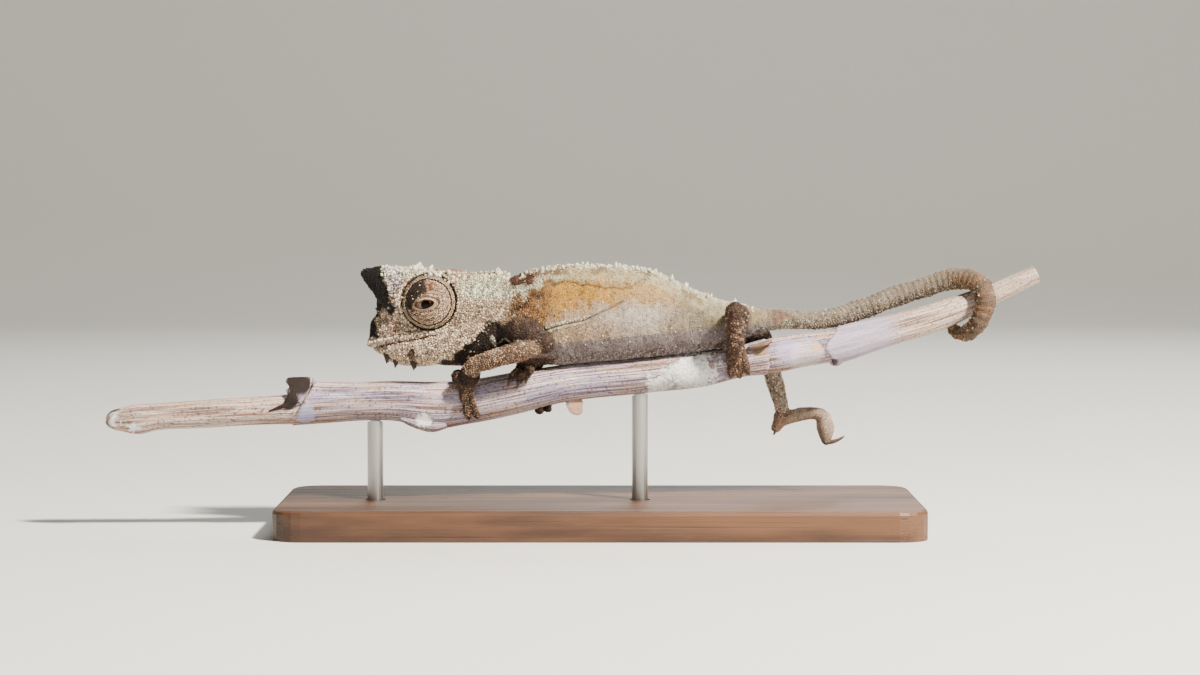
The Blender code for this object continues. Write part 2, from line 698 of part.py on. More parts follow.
LEG_NAMES = {
    "foreleg_left": ((-9.4, -1.8, 20.6), ELBOW_LEFT, WRIST_LEFT, (1.4, 1.1, 0.9)),
    "foreleg_right": ((-9.4, 1.8, 20.6), ELBOW_RIGHT, WRIST_RIGHT, (1.35, 1.05, 0.8)),
    "hindleg_left": ((14.2, -1.2, 20.9), KNEE_LEFT, ANKLE_LEFT, (1.2, 1.05, 0.9)),
    "hindleg_right": ((15.2, 1.6, 20.4), KNEE_RIGHT, ANKLE_RIGHT, (1.35, 1.0, 0.75)),
}
FEET = {
    "foreleg_left": (-13.4, 40.0, 1.2, [(-36.0, 0.7, 2), (140.0, -0.4, 3)]),
    "foreleg_right": (-6.7, 112.0, 1.15, [(32.0, -1.3, 3), (250.0, 1.2, 2)]),
    "hindleg_left": (13.5, 32.0, 1.0, [(-40.0, 0.4, 3), (105.0, -1.9, 2)]),
}
for limb_name, (hip, knee, ankle, radii) in LEG_NAMES.items():
    upper_words = "_upper" if limb_name.startswith("fore") else "_thigh"
    lower_words = "_lower" if limb_name.startswith("fore") else "_shin"
    upper_ends = (0.4, radii[1] * 0.9)
    lower_ends = (0.5, radii[2] * 0.9)
    lower_radii = (radii[1] * 0.92, radii[2])
    upper = limb(limb_name + upper_words, (hip, knee), radii[:2], 1.1, [torso_cutter], upper_ends)
    lower = limb(limb_name + lower_words, (knee, ankle), lower_radii, 1.05, [torso_cutter], lower_ends)
    upper_cutter = grown_limb((hip, knee), radii[:2], 1.1, upper_ends)
    lower_cutter = grown_limb((knee, ankle), lower_radii, 1.05, lower_ends)
    cut(lower, upper_cutter)
    clear_of_stem(upper, (0, 1))
    clear_of_stem(lower, (0, 1))
    if limb_name in FEET:
        x, palm_turn, palm_radius, lobes = FEET[limb_name]
        cutters = [lower_cutter, torso_cutter]
        paw = foot(limb_name.replace("leg", "foot"), x, palm_turn, palm_radius, lobes, cutters)
    else:
        sole = Course(
            [
                (18.3, 5.9, 10.6, 0.8, 0.9, 0.9),
                (19.6, 6.0, 10.9, 0.8, 0.8, 0.8),
                (21.3, 6.0, 11.2, 0.75, 0.75, 0.7),
                (22.6, 6.0, 11.0, 0.9, 0.75, 0.8),
                (23.0, 6.0, 9.6, 1.0, 0.95, 0.95),
                (23.1, 6.0, 8.4, 0.75, 0.6, 0.6),
            ]
        )
        paw = loft(limb_name.replace("leg", "foot"), sole, step=0.9, around=10, domes=(0.7, 0.6))
        heel = Course([(18.4, 5.9, 10.6, 0.8, 0.8, 0.8), (17.9, 5.9, 9.7, 0.6, 0.6, 0.6)])
        join(paw, [loft("heel", heel, step=0.8, around=8, domes=(0.5, 0.5))])
        claws = []
        for side in (-1, 1):
            shift = side * 0.3
            claws.append(spike((23.3, 6.0 + shift, 8.25), (0.95, shift / 2, 0.12), 0.24, 1.7, sink=0.3))
            claws.append(spike((17.9, 5.9 + shift, 9.5), (-0.3, shift * 0.7, -1.0), 0.28, 0.8))
        join(paw, claws)
        cut(paw, lower_cutter)
    finish(upper, LIMB_SKIN)
    finish(lower, LIMB_SKIN)
    finish(paw, LIMB_SKIN)
    discard(upper_cutter, lower_cutter)


# The stand: a flat base with two short rods that reach up to the stem
def build_base():
    work = bmesh.new()
    bmesh.ops.create_cube(work, size=1.0)
    bmesh.ops.scale(work, verts=work.verts, vec=(BASE_LENGTH, BASE_WIDTH, BASE_HEIGHT))
    bmesh.ops.translate(work, verts=work.verts, vec=(0.0, BASE_CENTRE_Y, BASE_HEIGHT / 2))
    upright = [edge for edge in work.edges if abs(edge.verts[0].co.z - edge.verts[1].co.z) > 1.0]
    bmesh.ops.bevel(work, geom=upright, offset=3.0, segments=5, affect="EDGES", profile=0.5)
    top = [edge for edge in work.edges if min(vert.co.z for vert in edge.verts) > BASE_HEIGHT - 0.01]
    bmesh.ops.bevel(work, geom=top, offset=0.4, segments=2, affect="EDGES", profile=0.5)
    mesh = bpy.data.meshes.new("stand_base")
    work.to_mesh(mesh)
    work.free()
    body = bpy.data.objects.new("stand_base", mesh)
    tools.objects.link(body)
    return body


def post(name, x, y, radius, low, high):
    work = bmesh.new()
    bmesh.ops.create_cone(
        work,
        cap_ends=True,
        segments=24,
        radius1=radius,
        radius2=radius,
        depth=high - low,
    )
    bmesh.ops.translate(work, verts=work.verts, vec=(x, y, (low + high) / 2))
    mesh = bpy.data.meshes.new(name)
    work.to_mesh(mesh)
    work.free()
    body = bpy.data.objects.new(name, mesh)
    tools.objects.link(body)
    return body


base = build_base()
for name, x in (("stand_rod_front", ROD_FRONT_X), ("stand_rod_back", ROD_BACK_X)):
    centre, thick = stem_at(x)
    hole = post("hole", x, centre.y, ROD_RADIUS + 0.25, BASE_HEIGHT - ROD_SOCKET, BASE_HEIGHT + 1.0)
    cut(base, hole)
    discard(hole)
    rod = post(name, x, centre.y, ROD_RADIUS, BASE_HEIGHT - ROD_SOCKET + 0.25, centre.z)
    finish(clear_of_stem(rod), STAND_STEEL)
finish(base, STAND_WOOD)

for tool in list(tools.objects):
    tool.hide_render = True
    tool.display_type = "WIRE"
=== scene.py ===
import math
import random

import bmesh
import bpy
import numpy as np
from mathutils import Matrix, Vector, noise
from mathutils.bvhtree import BVHTree


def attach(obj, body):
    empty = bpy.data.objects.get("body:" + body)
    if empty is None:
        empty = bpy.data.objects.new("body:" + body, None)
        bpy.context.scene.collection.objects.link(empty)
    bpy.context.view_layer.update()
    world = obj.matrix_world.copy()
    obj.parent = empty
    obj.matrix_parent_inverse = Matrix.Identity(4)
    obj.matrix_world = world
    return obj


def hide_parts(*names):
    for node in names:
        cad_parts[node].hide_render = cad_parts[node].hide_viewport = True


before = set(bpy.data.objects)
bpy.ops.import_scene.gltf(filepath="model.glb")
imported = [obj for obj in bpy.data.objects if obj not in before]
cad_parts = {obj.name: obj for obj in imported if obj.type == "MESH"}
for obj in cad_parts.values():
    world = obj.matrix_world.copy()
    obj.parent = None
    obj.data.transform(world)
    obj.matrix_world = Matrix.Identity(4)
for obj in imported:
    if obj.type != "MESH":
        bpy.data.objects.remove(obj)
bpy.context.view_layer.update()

# The view of the photograph: straight from the animal's left side, a little above it.
# Lengths in this script are millimetres until a piece is finished, then metres.
MM = 0.001
VIEW_CENTRE = Vector((0.0, 0.0, 19.25))
VIEW_WIDTH = 120.0
VIEW_DISTANCE = 330.0
VIEW_RISE = math.radians(3.0)
SENSOR_WIDTH = 36.0

camera_data = bpy.data.cameras.new("camera")
camera = bpy.data.objects.new("camera", camera_data)
bpy.context.scene.collection.objects.link(camera)
away = Vector((0.0, -math.cos(VIEW_RISE), math.sin(VIEW_RISE)))
camera.location = (VIEW_CENTRE + away * VIEW_DISTANCE) * MM
camera.rotation_euler = (-away).to_track_quat("-Z", "Y").to_euler()
camera_data.sensor_width = SENSOR_WIDTH
camera_data.lens = SENSOR_WIDTH * VIEW_DISTANCE / VIEW_WIDTH
camera_data.clip_start = 0.01
camera_data.clip_end = 20.0
bpy.context.scene.camera = camera


# The floor is one matt sheet that curves up behind, the way a studio sweep does. It is lit by a
# key from the upper right, a wide soft fill, a light from behind and an even pale world.
class Link:
    """A node's output that arithmetic can be done on."""

    def __init__(self, paint, socket):
        self.paint = paint
        self.socket = socket

    def calculate(self, operation, first, second=0.0):
        return self.paint.add("ShaderNodeMath", {"operation": operation}, {0: first, 1: second})

    def __add__(self, other):
        return self.calculate("ADD", self, other)

    def __sub__(self, other):
        return self.calculate("SUBTRACT", self, other)

    def __rsub__(self, other):
        return self.calculate("SUBTRACT", other, self)

    def __mul__(self, other):
        return self.calculate("MULTIPLY", self, other)

    def __pow__(self, other):
        return self.calculate("POWER", self, other)

    __radd__ = __add__
    __rmul__ = __mul__

    def between(self, low, high):
        settings = {"interpolation_type": "SMOOTHSTEP"}
        inputs = {"Value": self, "From Min": low, "From Max": high}
        return self.paint.add("ShaderNodeMapRange", settings, inputs)


class Paint:
    """A Principled material and the nodes that feed it."""

    def __init__(self, name, roughness=0.8, metallic=0.0, **fixed):
        self.material = bpy.data.materials.new(name)
        self.material.use_nodes = True
        self.tree = self.material.node_tree
        self.shader = self.tree.nodes["Principled BSDF"]
        self.shader.inputs["Roughness"].default_value = roughness
        self.shader.inputs["Metallic"].default_value = metallic
        for socket, value in fixed.items():
            self.shader.inputs[socket.replace("_", " ")].default_value = value

    def add(self, kind, settings=None, inputs=None, output=0):
        node = self.tree.nodes.new(kind)
        for name, value in (settings or {}).items():
            setattr(node, name, value)
        for name, value in (inputs or {}).items():
            self.feed(node.inputs[name], value)
        return Link(self, node.outputs[output])

    def feed(self, socket, value):
        if isinstance(value, Link):
            self.tree.links.new(value.socket, socket)
        elif isinstance(value, tuple) and socket.type == "RGBA":
            socket.default_value = (*value, 1.0)
        else:
            socket.default_value = value

    def place(self, scale=(1.0, 1.0, 1.0), turn=(0.0, 0.0, 0.0)):
        coordinates = self.add("ShaderNodeTexCoord", output="Object")
        return self.add("ShaderNodeMapping", inputs={"Vector": coordinates, "Scale": scale, "Rotation": turn})

    def clouds(self, vector, scale, detail=4.0, rough=0.55):
        inputs = {"Vector": vector, "Scale": scale, "Detail": detail, "Roughness": rough}
        return self.add("ShaderNodeTexNoise", inputs=inputs)

    def mix(self, amount, first, second, blend="MIX"):
        settings = {"data_type": "RGBA", "blend_type": blend}
        return self.add("ShaderNodeMix", settings, {0: amount, 6: first, 7: second}, output=2)

    def bump(self, height, depth, strength=1.0):
        bump = self.add("ShaderNodeBump", inputs={"Height": height, "Distance": depth, "Strength": strength})
        self.feed(self.shader.inputs["Normal"], bump)

    def base(self, colour):
        self.feed(self.shader.inputs["Base Color"], colour)

    def rough(self, value):
        self.feed(self.shader.inputs["Roughness"], value)


def tint(red, green, blue):
    """A colour given as it is seen, made linear."""
    seen = np.array((red, green, blue)) / 255.0
    return tuple(float(v) for v in np.where(seen > 0.04045, ((seen + 0.055) / 1.055) ** 2.4, seen / 12.92))


FLOOR_HALF = 1100.0
SWEEP_START = 420.0
SWEEP_RADIUS = 260.0

work = bmesh.new()
bmesh.ops.create_grid(work, x_segments=1, y_segments=1, size=1.0)
bmesh.ops.scale(work, verts=work.verts, vec=(FLOOR_HALF, (SWEEP_START + FLOOR_HALF) / 2, 1.0))
bmesh.ops.translate(work, verts=work.verts, vec=(0.0, (SWEEP_START - FLOOR_HALF) / 2, 0.0))
back = [e for e in work.edges if all(v.co.y > SWEEP_START - 1.0 for v in e.verts)]
bmesh.ops.spin(
    work,
    geom=back + [v for v in work.verts if v.co.y > SWEEP_START - 1.0],
    cent=(0.0, SWEEP_START, SWEEP_RADIUS),
    axis=(1.0, 0.0, 0.0),
    angle=math.radians(88.0),
    steps=24,
)
far = [e for e in work.edges if all(v.co.z > SWEEP_RADIUS * 0.95 for v in e.verts)]
raised = bmesh.ops.extrude_edge_only(work, edges=far)["geom"]
raised = [v for v in raised if isinstance(v, bmesh.types.BMVert)]
bmesh.ops.translate(work, verts=raised, vec=(0.0, 0.0, FLOOR_HALF))
floor_mesh = bpy.data.meshes.new("floor")
work.to_mesh(floor_mesh)
work.free()
floor_mesh.transform(Matrix.Scale(MM, 4))
floor_mesh.shade_smooth()
floor = bpy.data.objects.new("floor", floor_mesh)
bpy.context.scene.collection.objects.link(floor)
floor_paint = Paint("floor_sheet", roughness=0.9)
floor_paint.base(tint(226, 226, 222))
floor_mesh.materials.append(floor_paint.material)


def lamp(name, place, size, power, colour):
    light = bpy.data.lights.new(name, "AREA")
    light.shape = "DISK"
    light.size = size * MM
    light.energy = power
    light.color = colour
    holder = bpy.data.objects.new(name, light)
    holder.location = Vector(place) * MM
    holder.rotation_euler = (Vector(place) - VIEW_CENTRE).to_track_quat("Z", "Y").to_euler()
    bpy.context.scene.collection.objects.link(holder)


lamp("key", (205.0, -195.0, 300.0), 42.0, 6.6, (1.0, 0.92, 0.8))
lamp("fill", (-200.0, -330.0, 160.0), 320.0, 0.1, (0.92, 0.96, 1.0))
lamp("rim", (60.0, 300.0, 260.0), 200.0, 0.7, (1.0, 1.0, 1.0))
world = bpy.data.worlds.new("studio")
world.use_nodes = True
world.node_tree.nodes["Background"].inputs["Color"].default_value = (0.86, 0.88, 0.9, 1.0)
world.node_tree.nodes["Background"].inputs["Strength"].default_value = 0.125
bpy.context.scene.world = world


# The display stand: an oiled dark wood base, and two round steel rods that hold the stem.
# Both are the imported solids, given wood figure along their length and a fine drawn finish.
def wood_paint(name, light, dark, across, along):
    paint = Paint(name, roughness=0.5)
    flow = paint.place(scale=(along, across, across))
    waves = paint.clouds(flow, 9.0, detail=6.0, rough=0.6)
    pores = paint.clouds(paint.place(scale=(along * 0.35, across * 6.0, across * 6.0)), 40.0, detail=2.0)
    figure = waves.between(0.35, 0.68)
    colour = paint.mix(figure, dark, light)
    paint.base(paint.mix(pores.between(0.55, 0.72) * 0.55, colour, tuple(v * 0.35 for v in dark)))
    paint.rough(pores.between(0.5, 0.7) * 0.2 + 0.42)
    paint.bump(pores.between(0.5, 0.75) * -1.0, 0.00006, 0.5)
    return paint.material


base_paint = wood_paint("stand_wood_oiled", tint(104, 70, 46), tint(58, 36, 24), 26.0, 3.0)
steel_paint = Paint("stand_steel_drawn", roughness=0.32, metallic=1.0)
drawn = steel_paint.clouds(steel_paint.place(scale=(1.0, 1.0, 0.03)), 9000.0, detail=2.0)
steel_paint.base(steel_paint.mix(drawn, tint(168, 168, 166), tint(198, 198, 196)))
steel_paint.rough(drawn * 0.2 + 0.24)
stand_finishes = {
    "stand_base": base_paint,
    "stand_rod_front": steel_paint.material,
    "stand_rod_back": steel_paint.material,
}
for node, finish in stand_finishes.items():
    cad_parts[node].data.materials.clear()
    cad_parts[node].data.materials.append(finish)


# A course is a smooth centre line, as in the solids: each of its rows is a place (x, y, z) and the
# half width, rise and drop of the body there. A body is made by extruding one ring along it.
class Course:
    def __init__(self, rows, side=(0.0, 1.0, 0.0), power=2.0, upright=False):
        rows = np.array(rows, dtype=float)
        hops = np.linalg.norm(np.diff(rows[:, :3], axis=0), axis=1)
        stops = np.concatenate(([0.0], np.cumsum(hops)))
        slopes = np.gradient(rows, stops, axis=0)
        self.length = float(stops[-1])
        self.power = power
        count = max(8, int(self.length / 0.1))
        self.steps = np.linspace(0.0, self.length, count + 1)
        cell = np.clip(np.searchsorted(stops, self.steps, side="right") - 1, 0, len(hops) - 1)
        span = hops[cell]
        part = ((self.steps - stops[cell]) / span)[:, None]
        span = span[:, None]
        self.rows = (
            (2 * part**3 - 3 * part**2 + 1) * rows[cell]
            + (part**3 - 2 * part**2 + part) * span * slopes[cell]
            + (3 * part**2 - 2 * part**3) * rows[cell + 1]
            + (part**3 - part**2) * span * slopes[cell + 1]
        )
        ahead = np.gradient(self.rows[:, :3], self.steps, axis=0)
        if upright:
            ahead[:, 1:] = 0.0
        self.ahead = ahead / np.linalg.norm(ahead, axis=1)[:, None]
        sides = [np.array(side, dtype=float)]
        for way in self.ahead:
            carried = sides[-1] - way * np.dot(sides[-1], way)
            sides.append(carried / np.linalg.norm(carried))
        self.sides = np.array(sides[1:])

    def at(self, distance):
        spot = [np.interp(distance, self.steps, column) for column in self.rows.T]
        way = Vector([np.interp(distance, self.steps, column) for column in self.ahead.T]).normalized()
        side = Vector([np.interp(distance, self.steps, column) for column in self.sides.T])
        side = (side - way * side.dot(way)).normalized()
        return Vector(spot[:3]), way, side, way.cross(side), spot[3:]

    def reach(self, x):
        return float(np.interp(x, self.rows[:, 0], self.steps))


DOME_SHARES = (0.35, 0.6, 0.8, 0.93, 0.99)


def set_ring(ring, turn, course, distance, grow, shrink=1.0, shift=0.0, shape=None):
    centre, way, side, up, (half, rise, drop) = course.at(distance)
    for vert in ring:
        angle = vert[turn]
        across = math.copysign(abs(math.cos(angle)) ** (2.0 / course.power), math.cos(angle))
        high = math.copysign(abs(math.sin(angle)) ** (2.0 / course.power), math.sin(angle))
        tall = rise if high > 0 else drop
        out, slide = shape(distance, angle) if shape else (1.0, 0.0)
        wide = (half + grow) * shrink * out
        tall = (tall + grow) * shrink * out
        vert.co = centre + way * (shift + slide) + side * across * wide + up * high * tall


def first_ring(work, around):
    """A circle whose points remember the angle that they stand at."""
    turn = work.verts.layers.float.new("turn")
    ring = bmesh.ops.create_circle(work, segments=around, radius=1.0)["verts"]
    for vert in ring:
        vert[turn] = math.atan2(vert.co.y, vert.co.x)
    return turn, ring, list(work.edges)


def next_ring(work, edges):
    grown = bmesh.ops.extrude_edge_only(work, edges=edges)["geom"]
    ring = [item for item in grown if isinstance(item, bmesh.types.BMVert)]
    return ring, [item for item in grown if isinstance(item, bmesh.types.BMEdge)]


def dome_stations(end, rise, grow):
    """Rings of a rounded end, as the share of the full ring and how far out each one lies."""
    return [(end, math.sqrt(1.0 - share * share), share * (rise + grow)) for share in DOME_SHARES if rise]


def body_mesh(course, around=32, step=0.4, domes=(0.0, 0.0), grow=0.0, shape=None):
    end = course.length
    count = max(2, int(round(end / step)))
    stations = [(0.0, shrink, -shift) for _, shrink, shift in dome_stations(0.0, domes[0], grow)][::-1]
    stations += [(end * k / count, 1.0, 0.0) for k in range(count + 1)]
    stations += dome_stations(end, domes[1], grow)
    work = bmesh.new()
    run = work.verts.layers.float_vector.new("run")
    turn, ring, edges = first_ring(work, around)
    for number, (distance, shrink, shift) in enumerate(stations):
        if number:
            ring, edges = next_ring(work, edges)
        set_ring(ring, turn, course, distance, grow, shrink, shift, shape)
        for vert in ring:
            vert[run] = (distance + shift, math.cos(vert[turn]), math.sin(vert[turn]))
        if not number:
            bmesh.ops.contextual_create(work, geom=edges)
    bmesh.ops.contextual_create(work, geom=edges)
    bmesh.ops.recalc_face_normals(work, faces=work.faces)
    return work


def join_meshes(name, parts):
    """One mesh object of several bmeshes, which are used up."""
    whole = bmesh.new()
    for part in parts:
        mesh = bpy.data.meshes.new("part")
        part.to_mesh(mesh)
        part.free()
        whole.from_mesh(mesh)
        bpy.data.meshes.remove(mesh)
    mesh = bpy.data.meshes.new(name)
    whole.to_mesh(mesh)
    whole.free()
    piece = bpy.data.objects.new(name, mesh)
    bpy.context.scene.collection.objects.link(piece)
    return piece


def finish_piece(piece, material, replaced=()):
    piece.data.transform(Matrix.Scale(MM, 4))
    piece.data.materials.clear()
    piece.data.materials.append(material)
    piece.data.shade_smooth()
    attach(piece, "root")
    if replaced:
        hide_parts(*replaced)


# The perch is a dry grass stem: a thin broken length on the left, then leaf sheaths one after
# another, each wrapped round the next and split at its mouth, all in fine long fibres.
STEM_ROWS = [
    (-48.6, 0.0, 11.0, 1.05, 1.0, 1.0),
    (-46.4, 0.0, 11.15, 1.5, 1.4, 1.6),
    (-44.6, 0.0, 11.3, 1.4, 1.35, 1.4),
    (-40.7, 0.0, 11.55, 1.4, 1.4, 1.4),
    (-30.0, 0.0, 12.15, 1.55, 1.5, 1.55),
]
SHEATH_ROWS = [
    (-29.6, 0.0, 12.6, 2.0, 2.2, 2.1),
    (-24.0, 0.0, 12.85, 1.95, 1.95, 1.95),
    (-20.2, 0.0, 12.9, 2.0, 2.0, 2.0),
    (-16.4, 0.0, 12.8, 2.1, 2.0, 2.75),
    (-13.4, 0.0, 12.8, 2.15, 2.15, 2.2),
    (-9.4, 0.0, 13.5, 2.1, 2.1, 2.1),
    (-4.0, 0.0, 14.6, 1.9, 1.88, 1.9),
    (4.6, 0.0, 15.5, 1.85, 1.8, 1.8),
    (9.8, 0.0, 16.1, 1.8, 1.8, 1.85),
    (14.7, 0.3, 16.95, 1.65, 1.6, 1.6),
    (16.6, 0.5, 17.3, 1.8, 1.8, 1.8),
]
SECOND_ROWS = [
    (17.0, 0.55, 17.35, 1.7, 1.7, 1.7),
    (20.0, 1.05, 17.9, 1.7, 1.7, 1.7),
    (23.4, 1.75, 18.35, 1.6, 1.6, 1.6),
    (26.0, 2.35, 18.95, 1.4, 1.4, 1.4),
]
CANE_ROWS = [
    (22.4, 1.5, 18.15, 1.78, 1.74, 1.76),
    (23.8, 1.85, 18.45, 1.78, 1.75, 1.85),
    (27.0, 2.6, 19.2, 1.65, 1.7, 1.65),
    (30.0, 3.35, 20.0, 1.5, 1.5, 1.5),
    (35.2, 4.7, 21.5, 1.35, 1.4, 1.4),
    (39.4, 5.7, 23.2, 1.05, 1.05, 1.05),
    (44.4, 7.0, 25.3, 0.9, 0.9, 0.9),
]
WHOLE_STEM = Course(STEM_ROWS + SHEATH_ROWS + SECOND_ROWS[1:] + CANE_ROWS[2:])
FIBRE_DEPTH = 0.018
FIBRES = 30


def stem_at(x):
    centre, way, side, up, (half, rise, drop) = WHOLE_STEM.at(WHOLE_STEM.reach(x))
    return centre, max(half, rise, drop)


def round_stem(x, turn, out):
    """A place beside the stem: the turn is 0 at the front and 90 degrees on top."""
    centre, thick = stem_at(x)
    out += thick
    return centre + Vector((0.0, -math.cos(turn) * out, math.sin(turn) * out))


def fibres(distance, angle):
    """Ridges along the stem that run slightly out of true and die out here and there."""
    wander = 1.6 * noise.noise(Vector((distance * 0.06, angle * 1.3, 4.0)))
    ridge = math.cos(FIBRES * angle + wander * 3.0) * 0.5
    ridge += math.cos(FIBRES * 2.3 * angle + distance * 0.05) * 0.3
    fade = 0.5 + noise.noise(Vector((distance * 0.15, angle * 2.0, 9.0)))
    dent = noise.noise(Vector((distance * 0.25, math.cos(angle) * 1.2, math.sin(angle) * 1.2))) * 0.025
    return 1.0 + ridge * FIBRE_DEPTH * fade + dent


def sheath_mouths(distance, angle):
    """A sheath whose ends are cut slantwise with a frayed edge."""
    near_start = max(0.0, 1.0 - distance / 3.0)
    near_end = max(0.0, 1.0 - (sheath.length - distance) / 3.0)
    fray = noise.noise(Vector((math.cos(angle) * 5.0, math.sin(angle) * 5.0, sheath.length))) * 0.22
    slide = near_start * (math.sin(angle) * 1.2 + fray) + near_end * (math.sin(angle) * 0.25 + fray)
    return fibres(distance, angle), slide


def plain_fibres(distance, angle):
    return fibres(distance, angle), 0.0


def cane_mouth(distance, angle):
    """A mouth that reaches furthest along the front, with one pointed lobe that hangs below."""
    up = math.sin(angle)
    near = max(0.0, 1.0 - distance / 3.2)
    fray = noise.noise(Vector((math.cos(angle) * 4.0, up * 4.0, 7.0)))
    slide = near * (2.3 * max(0.0, up) ** 1.4 + 0.9 * max(0.0, -up) - 0.3 + fray * 0.2)
    lobe = 0.2 * max(0.0, -up) ** 8 * math.exp(-(((distance - 0.5) / 0.7) ** 2))
    return fibres(distance, angle) + lobe, slide


stub = Course(STEM_ROWS + [(-29.0, 0.0, 12.2, 1.6, 1.55, 1.6)])
sheath = Course(SHEATH_ROWS)
second = Course([(15.6, 0.42, 17.1, 1.5, 1.5, 1.5)] + SECOND_ROWS)
cane = Course(CANE_ROWS)


def broken_end(distance, angle):
    """The rotten end: a collapsed, split tip."""
    out = fibres(distance, angle)
    near = max(0.0, 1.0 - distance / 2.2)
    chip = noise.noise(Vector((math.cos(angle) * 2.2, math.sin(angle) * 2.2, 2.0)))
    return out * (1.0 + near * chip * 0.35), near * chip * 0.5


def stem_paint(name, pale, warm, violet, lichen_at, zones):
    """Dry sheath: silvery lavender with pinkish tan streaks, fine dark fibres and crusts of lichen."""
    paint = Paint(name, roughness=0.78, Specular_IOR_Level=0.3)
    run = paint.add("ShaderNodeAttribute", {"attribute_name": "run"}, output="Vector")

    def grain(along, around, detail=3.0, rough=0.6):
        scaled = paint.add("ShaderNodeMapping", inputs={"Vector": run, "Scale": (along, around, around)})
        return paint.clouds(scaled, 1.0, detail=detail, rough=rough)

    streaks = grain(0.09, 4.5, 5.0, 0.65)
    threads = grain(0.16, 17.0, 4.0)
    pits = grain(1.6, 9.0, 3.0, 0.7)
    broad = grain(0.16, 1.4, 3.0)
    specks = paint.clouds(paint.place(), 3800.0, detail=3.0, rough=0.7)
    place = paint.add("ShaderNodeTexCoord", output="Object")

    def away_from(spot):
        inputs = {0: place, 1: tuple(value * MM for value in spot)}
        return paint.add("ShaderNodeVectorMath", {"operation": "DISTANCE"}, inputs, output="Value")

    colour = paint.mix(streaks.between(0.4, 0.6), pale, warm)
    colour = paint.mix(broad.between(0.48, 0.62) * 0.75, colour, violet)
    colour = paint.mix(threads.between(0.5, 0.62) * 0.85, colour, tint(82, 62, 58))
    colour = paint.mix((1.0 - threads).between(0.52, 0.66) * 0.75, colour, tint(240, 232, 232))
    colour = paint.mix(pits.between(0.56, 0.68) * 0.4, colour, tint(84, 62, 58))
    colour = paint.mix(specks.between(0.55, 0.63) * 0.75, colour, tint(62, 46, 44))
    height = threads * -1.0 + streaks * -0.8 + pits * -0.6
    crust = paint.clouds(paint.place(), 1300.0, detail=6.0, rough=0.75)
    for spot, reach in lichen_at:
        mask = (crust * 1.7 + away_from(spot) * (-0.75 / (reach * MM))).between(0.42, 0.5)
        crumbs = paint.mix(specks.between(0.5, 0.68), tint(244, 244, 244), tint(190, 184, 190))
        colour = paint.mix(mask * 0.97, colour, crumbs)
        height = height + mask * (crust * 2.0)
    # Zones are patches of another shade laid over the fibres; some of them are painted shadow.
    for spot, reach, shade, strength in zones:
        mask = (streaks * 0.6 + away_from(spot) * (-1.0 / (reach * MM)) + 0.55).between(0.0, 0.3)
        colour = paint.mix(mask * strength, colour, shade)
    paint.base(colour)
    paint.rough(threads * 0.2 + 0.66)
    paint.bump(height, 0.00012, 0.9)
    return paint.material


LAVENDER = tint(186, 172, 182)
PINK_TAN = tint(182, 146, 128)
VIOLET = tint(140, 136, 172)
CREAM = tint(202, 182, 162)
first_paint = stem_paint(
    "sheath_fibre",
    LAVENDER,
    PINK_TAN,
    VIOLET,
    [((9.2, -1.7, 15.4), 5.0), ((5.9, -1.5, 14.6), 3.0), ((-17.5, -1.5, 10.8), 1.6)],
    [
        # The first two zones are painted shadow on the inside face of the torn flap at the sheath's mouth.
        ((-30.3, -0.2, 14.5), 2.1, tint(34, 25, 21), 1.0),
        ((-30.9, -1.5, 13.1), 1.3, tint(34, 25, 21), 1.0),
        ((16.0, -1.3, 18.6), 1.6, tint(134, 110, 88), 0.9),
        ((17.3, -1.2, 18.8), 0.6, tint(50, 40, 40), 0.9),
        ((-32.2, -1.6, 12.3), 1.6, tint(52, 38, 32), 1.0),
        ((-29.4, -1.9, 11.6), 1.5, tint(172, 170, 210), 0.7),
        ((18.8, -0.7, 17.9), 1.8, tint(182, 170, 208), 0.6),
        ((20.6, -0.4, 17.4), 2.4, tint(226, 218, 224), 0.35),
        ((21.6, -0.2, 18.3), 0.8, tint(214, 164, 136), 0.7),
        ((-2.3, -0.9, 12.2), 1.3, tint(178, 138, 108), 0.8),
    ],
)
stub_paint = stem_paint(
    "broken_end_fibre",
    tint(216, 196, 182),
    tint(184, 142, 118),
    tint(150, 128, 118),
    [((-48.4, -0.6, 11.0), 1.4), ((-46.6, -1.3, 10.2), 1.2)],
    [
        # The first zone is a painted shadow beside the flap at the sheath's mouth.
        ((-31.0, -1.3, 12.7), 0.9, tint(50, 38, 32), 0.9),
        ((-48.6, -0.2, 12.0), 0.8, tint(60, 44, 40), 0.9),
    ],
)
cane_paint = stem_paint(
    "cane_fibre",
    CREAM,
    tint(164, 126, 100),
    tint(176, 158, 144),
    [],
    [
        ((24.0, 1.8, 18.6), 8.5, tint(170, 163, 194), 0.62),
        ((23.3, 0.6, 16.5), 0.9, tint(60, 48, 52), 0.9),
    ],
)

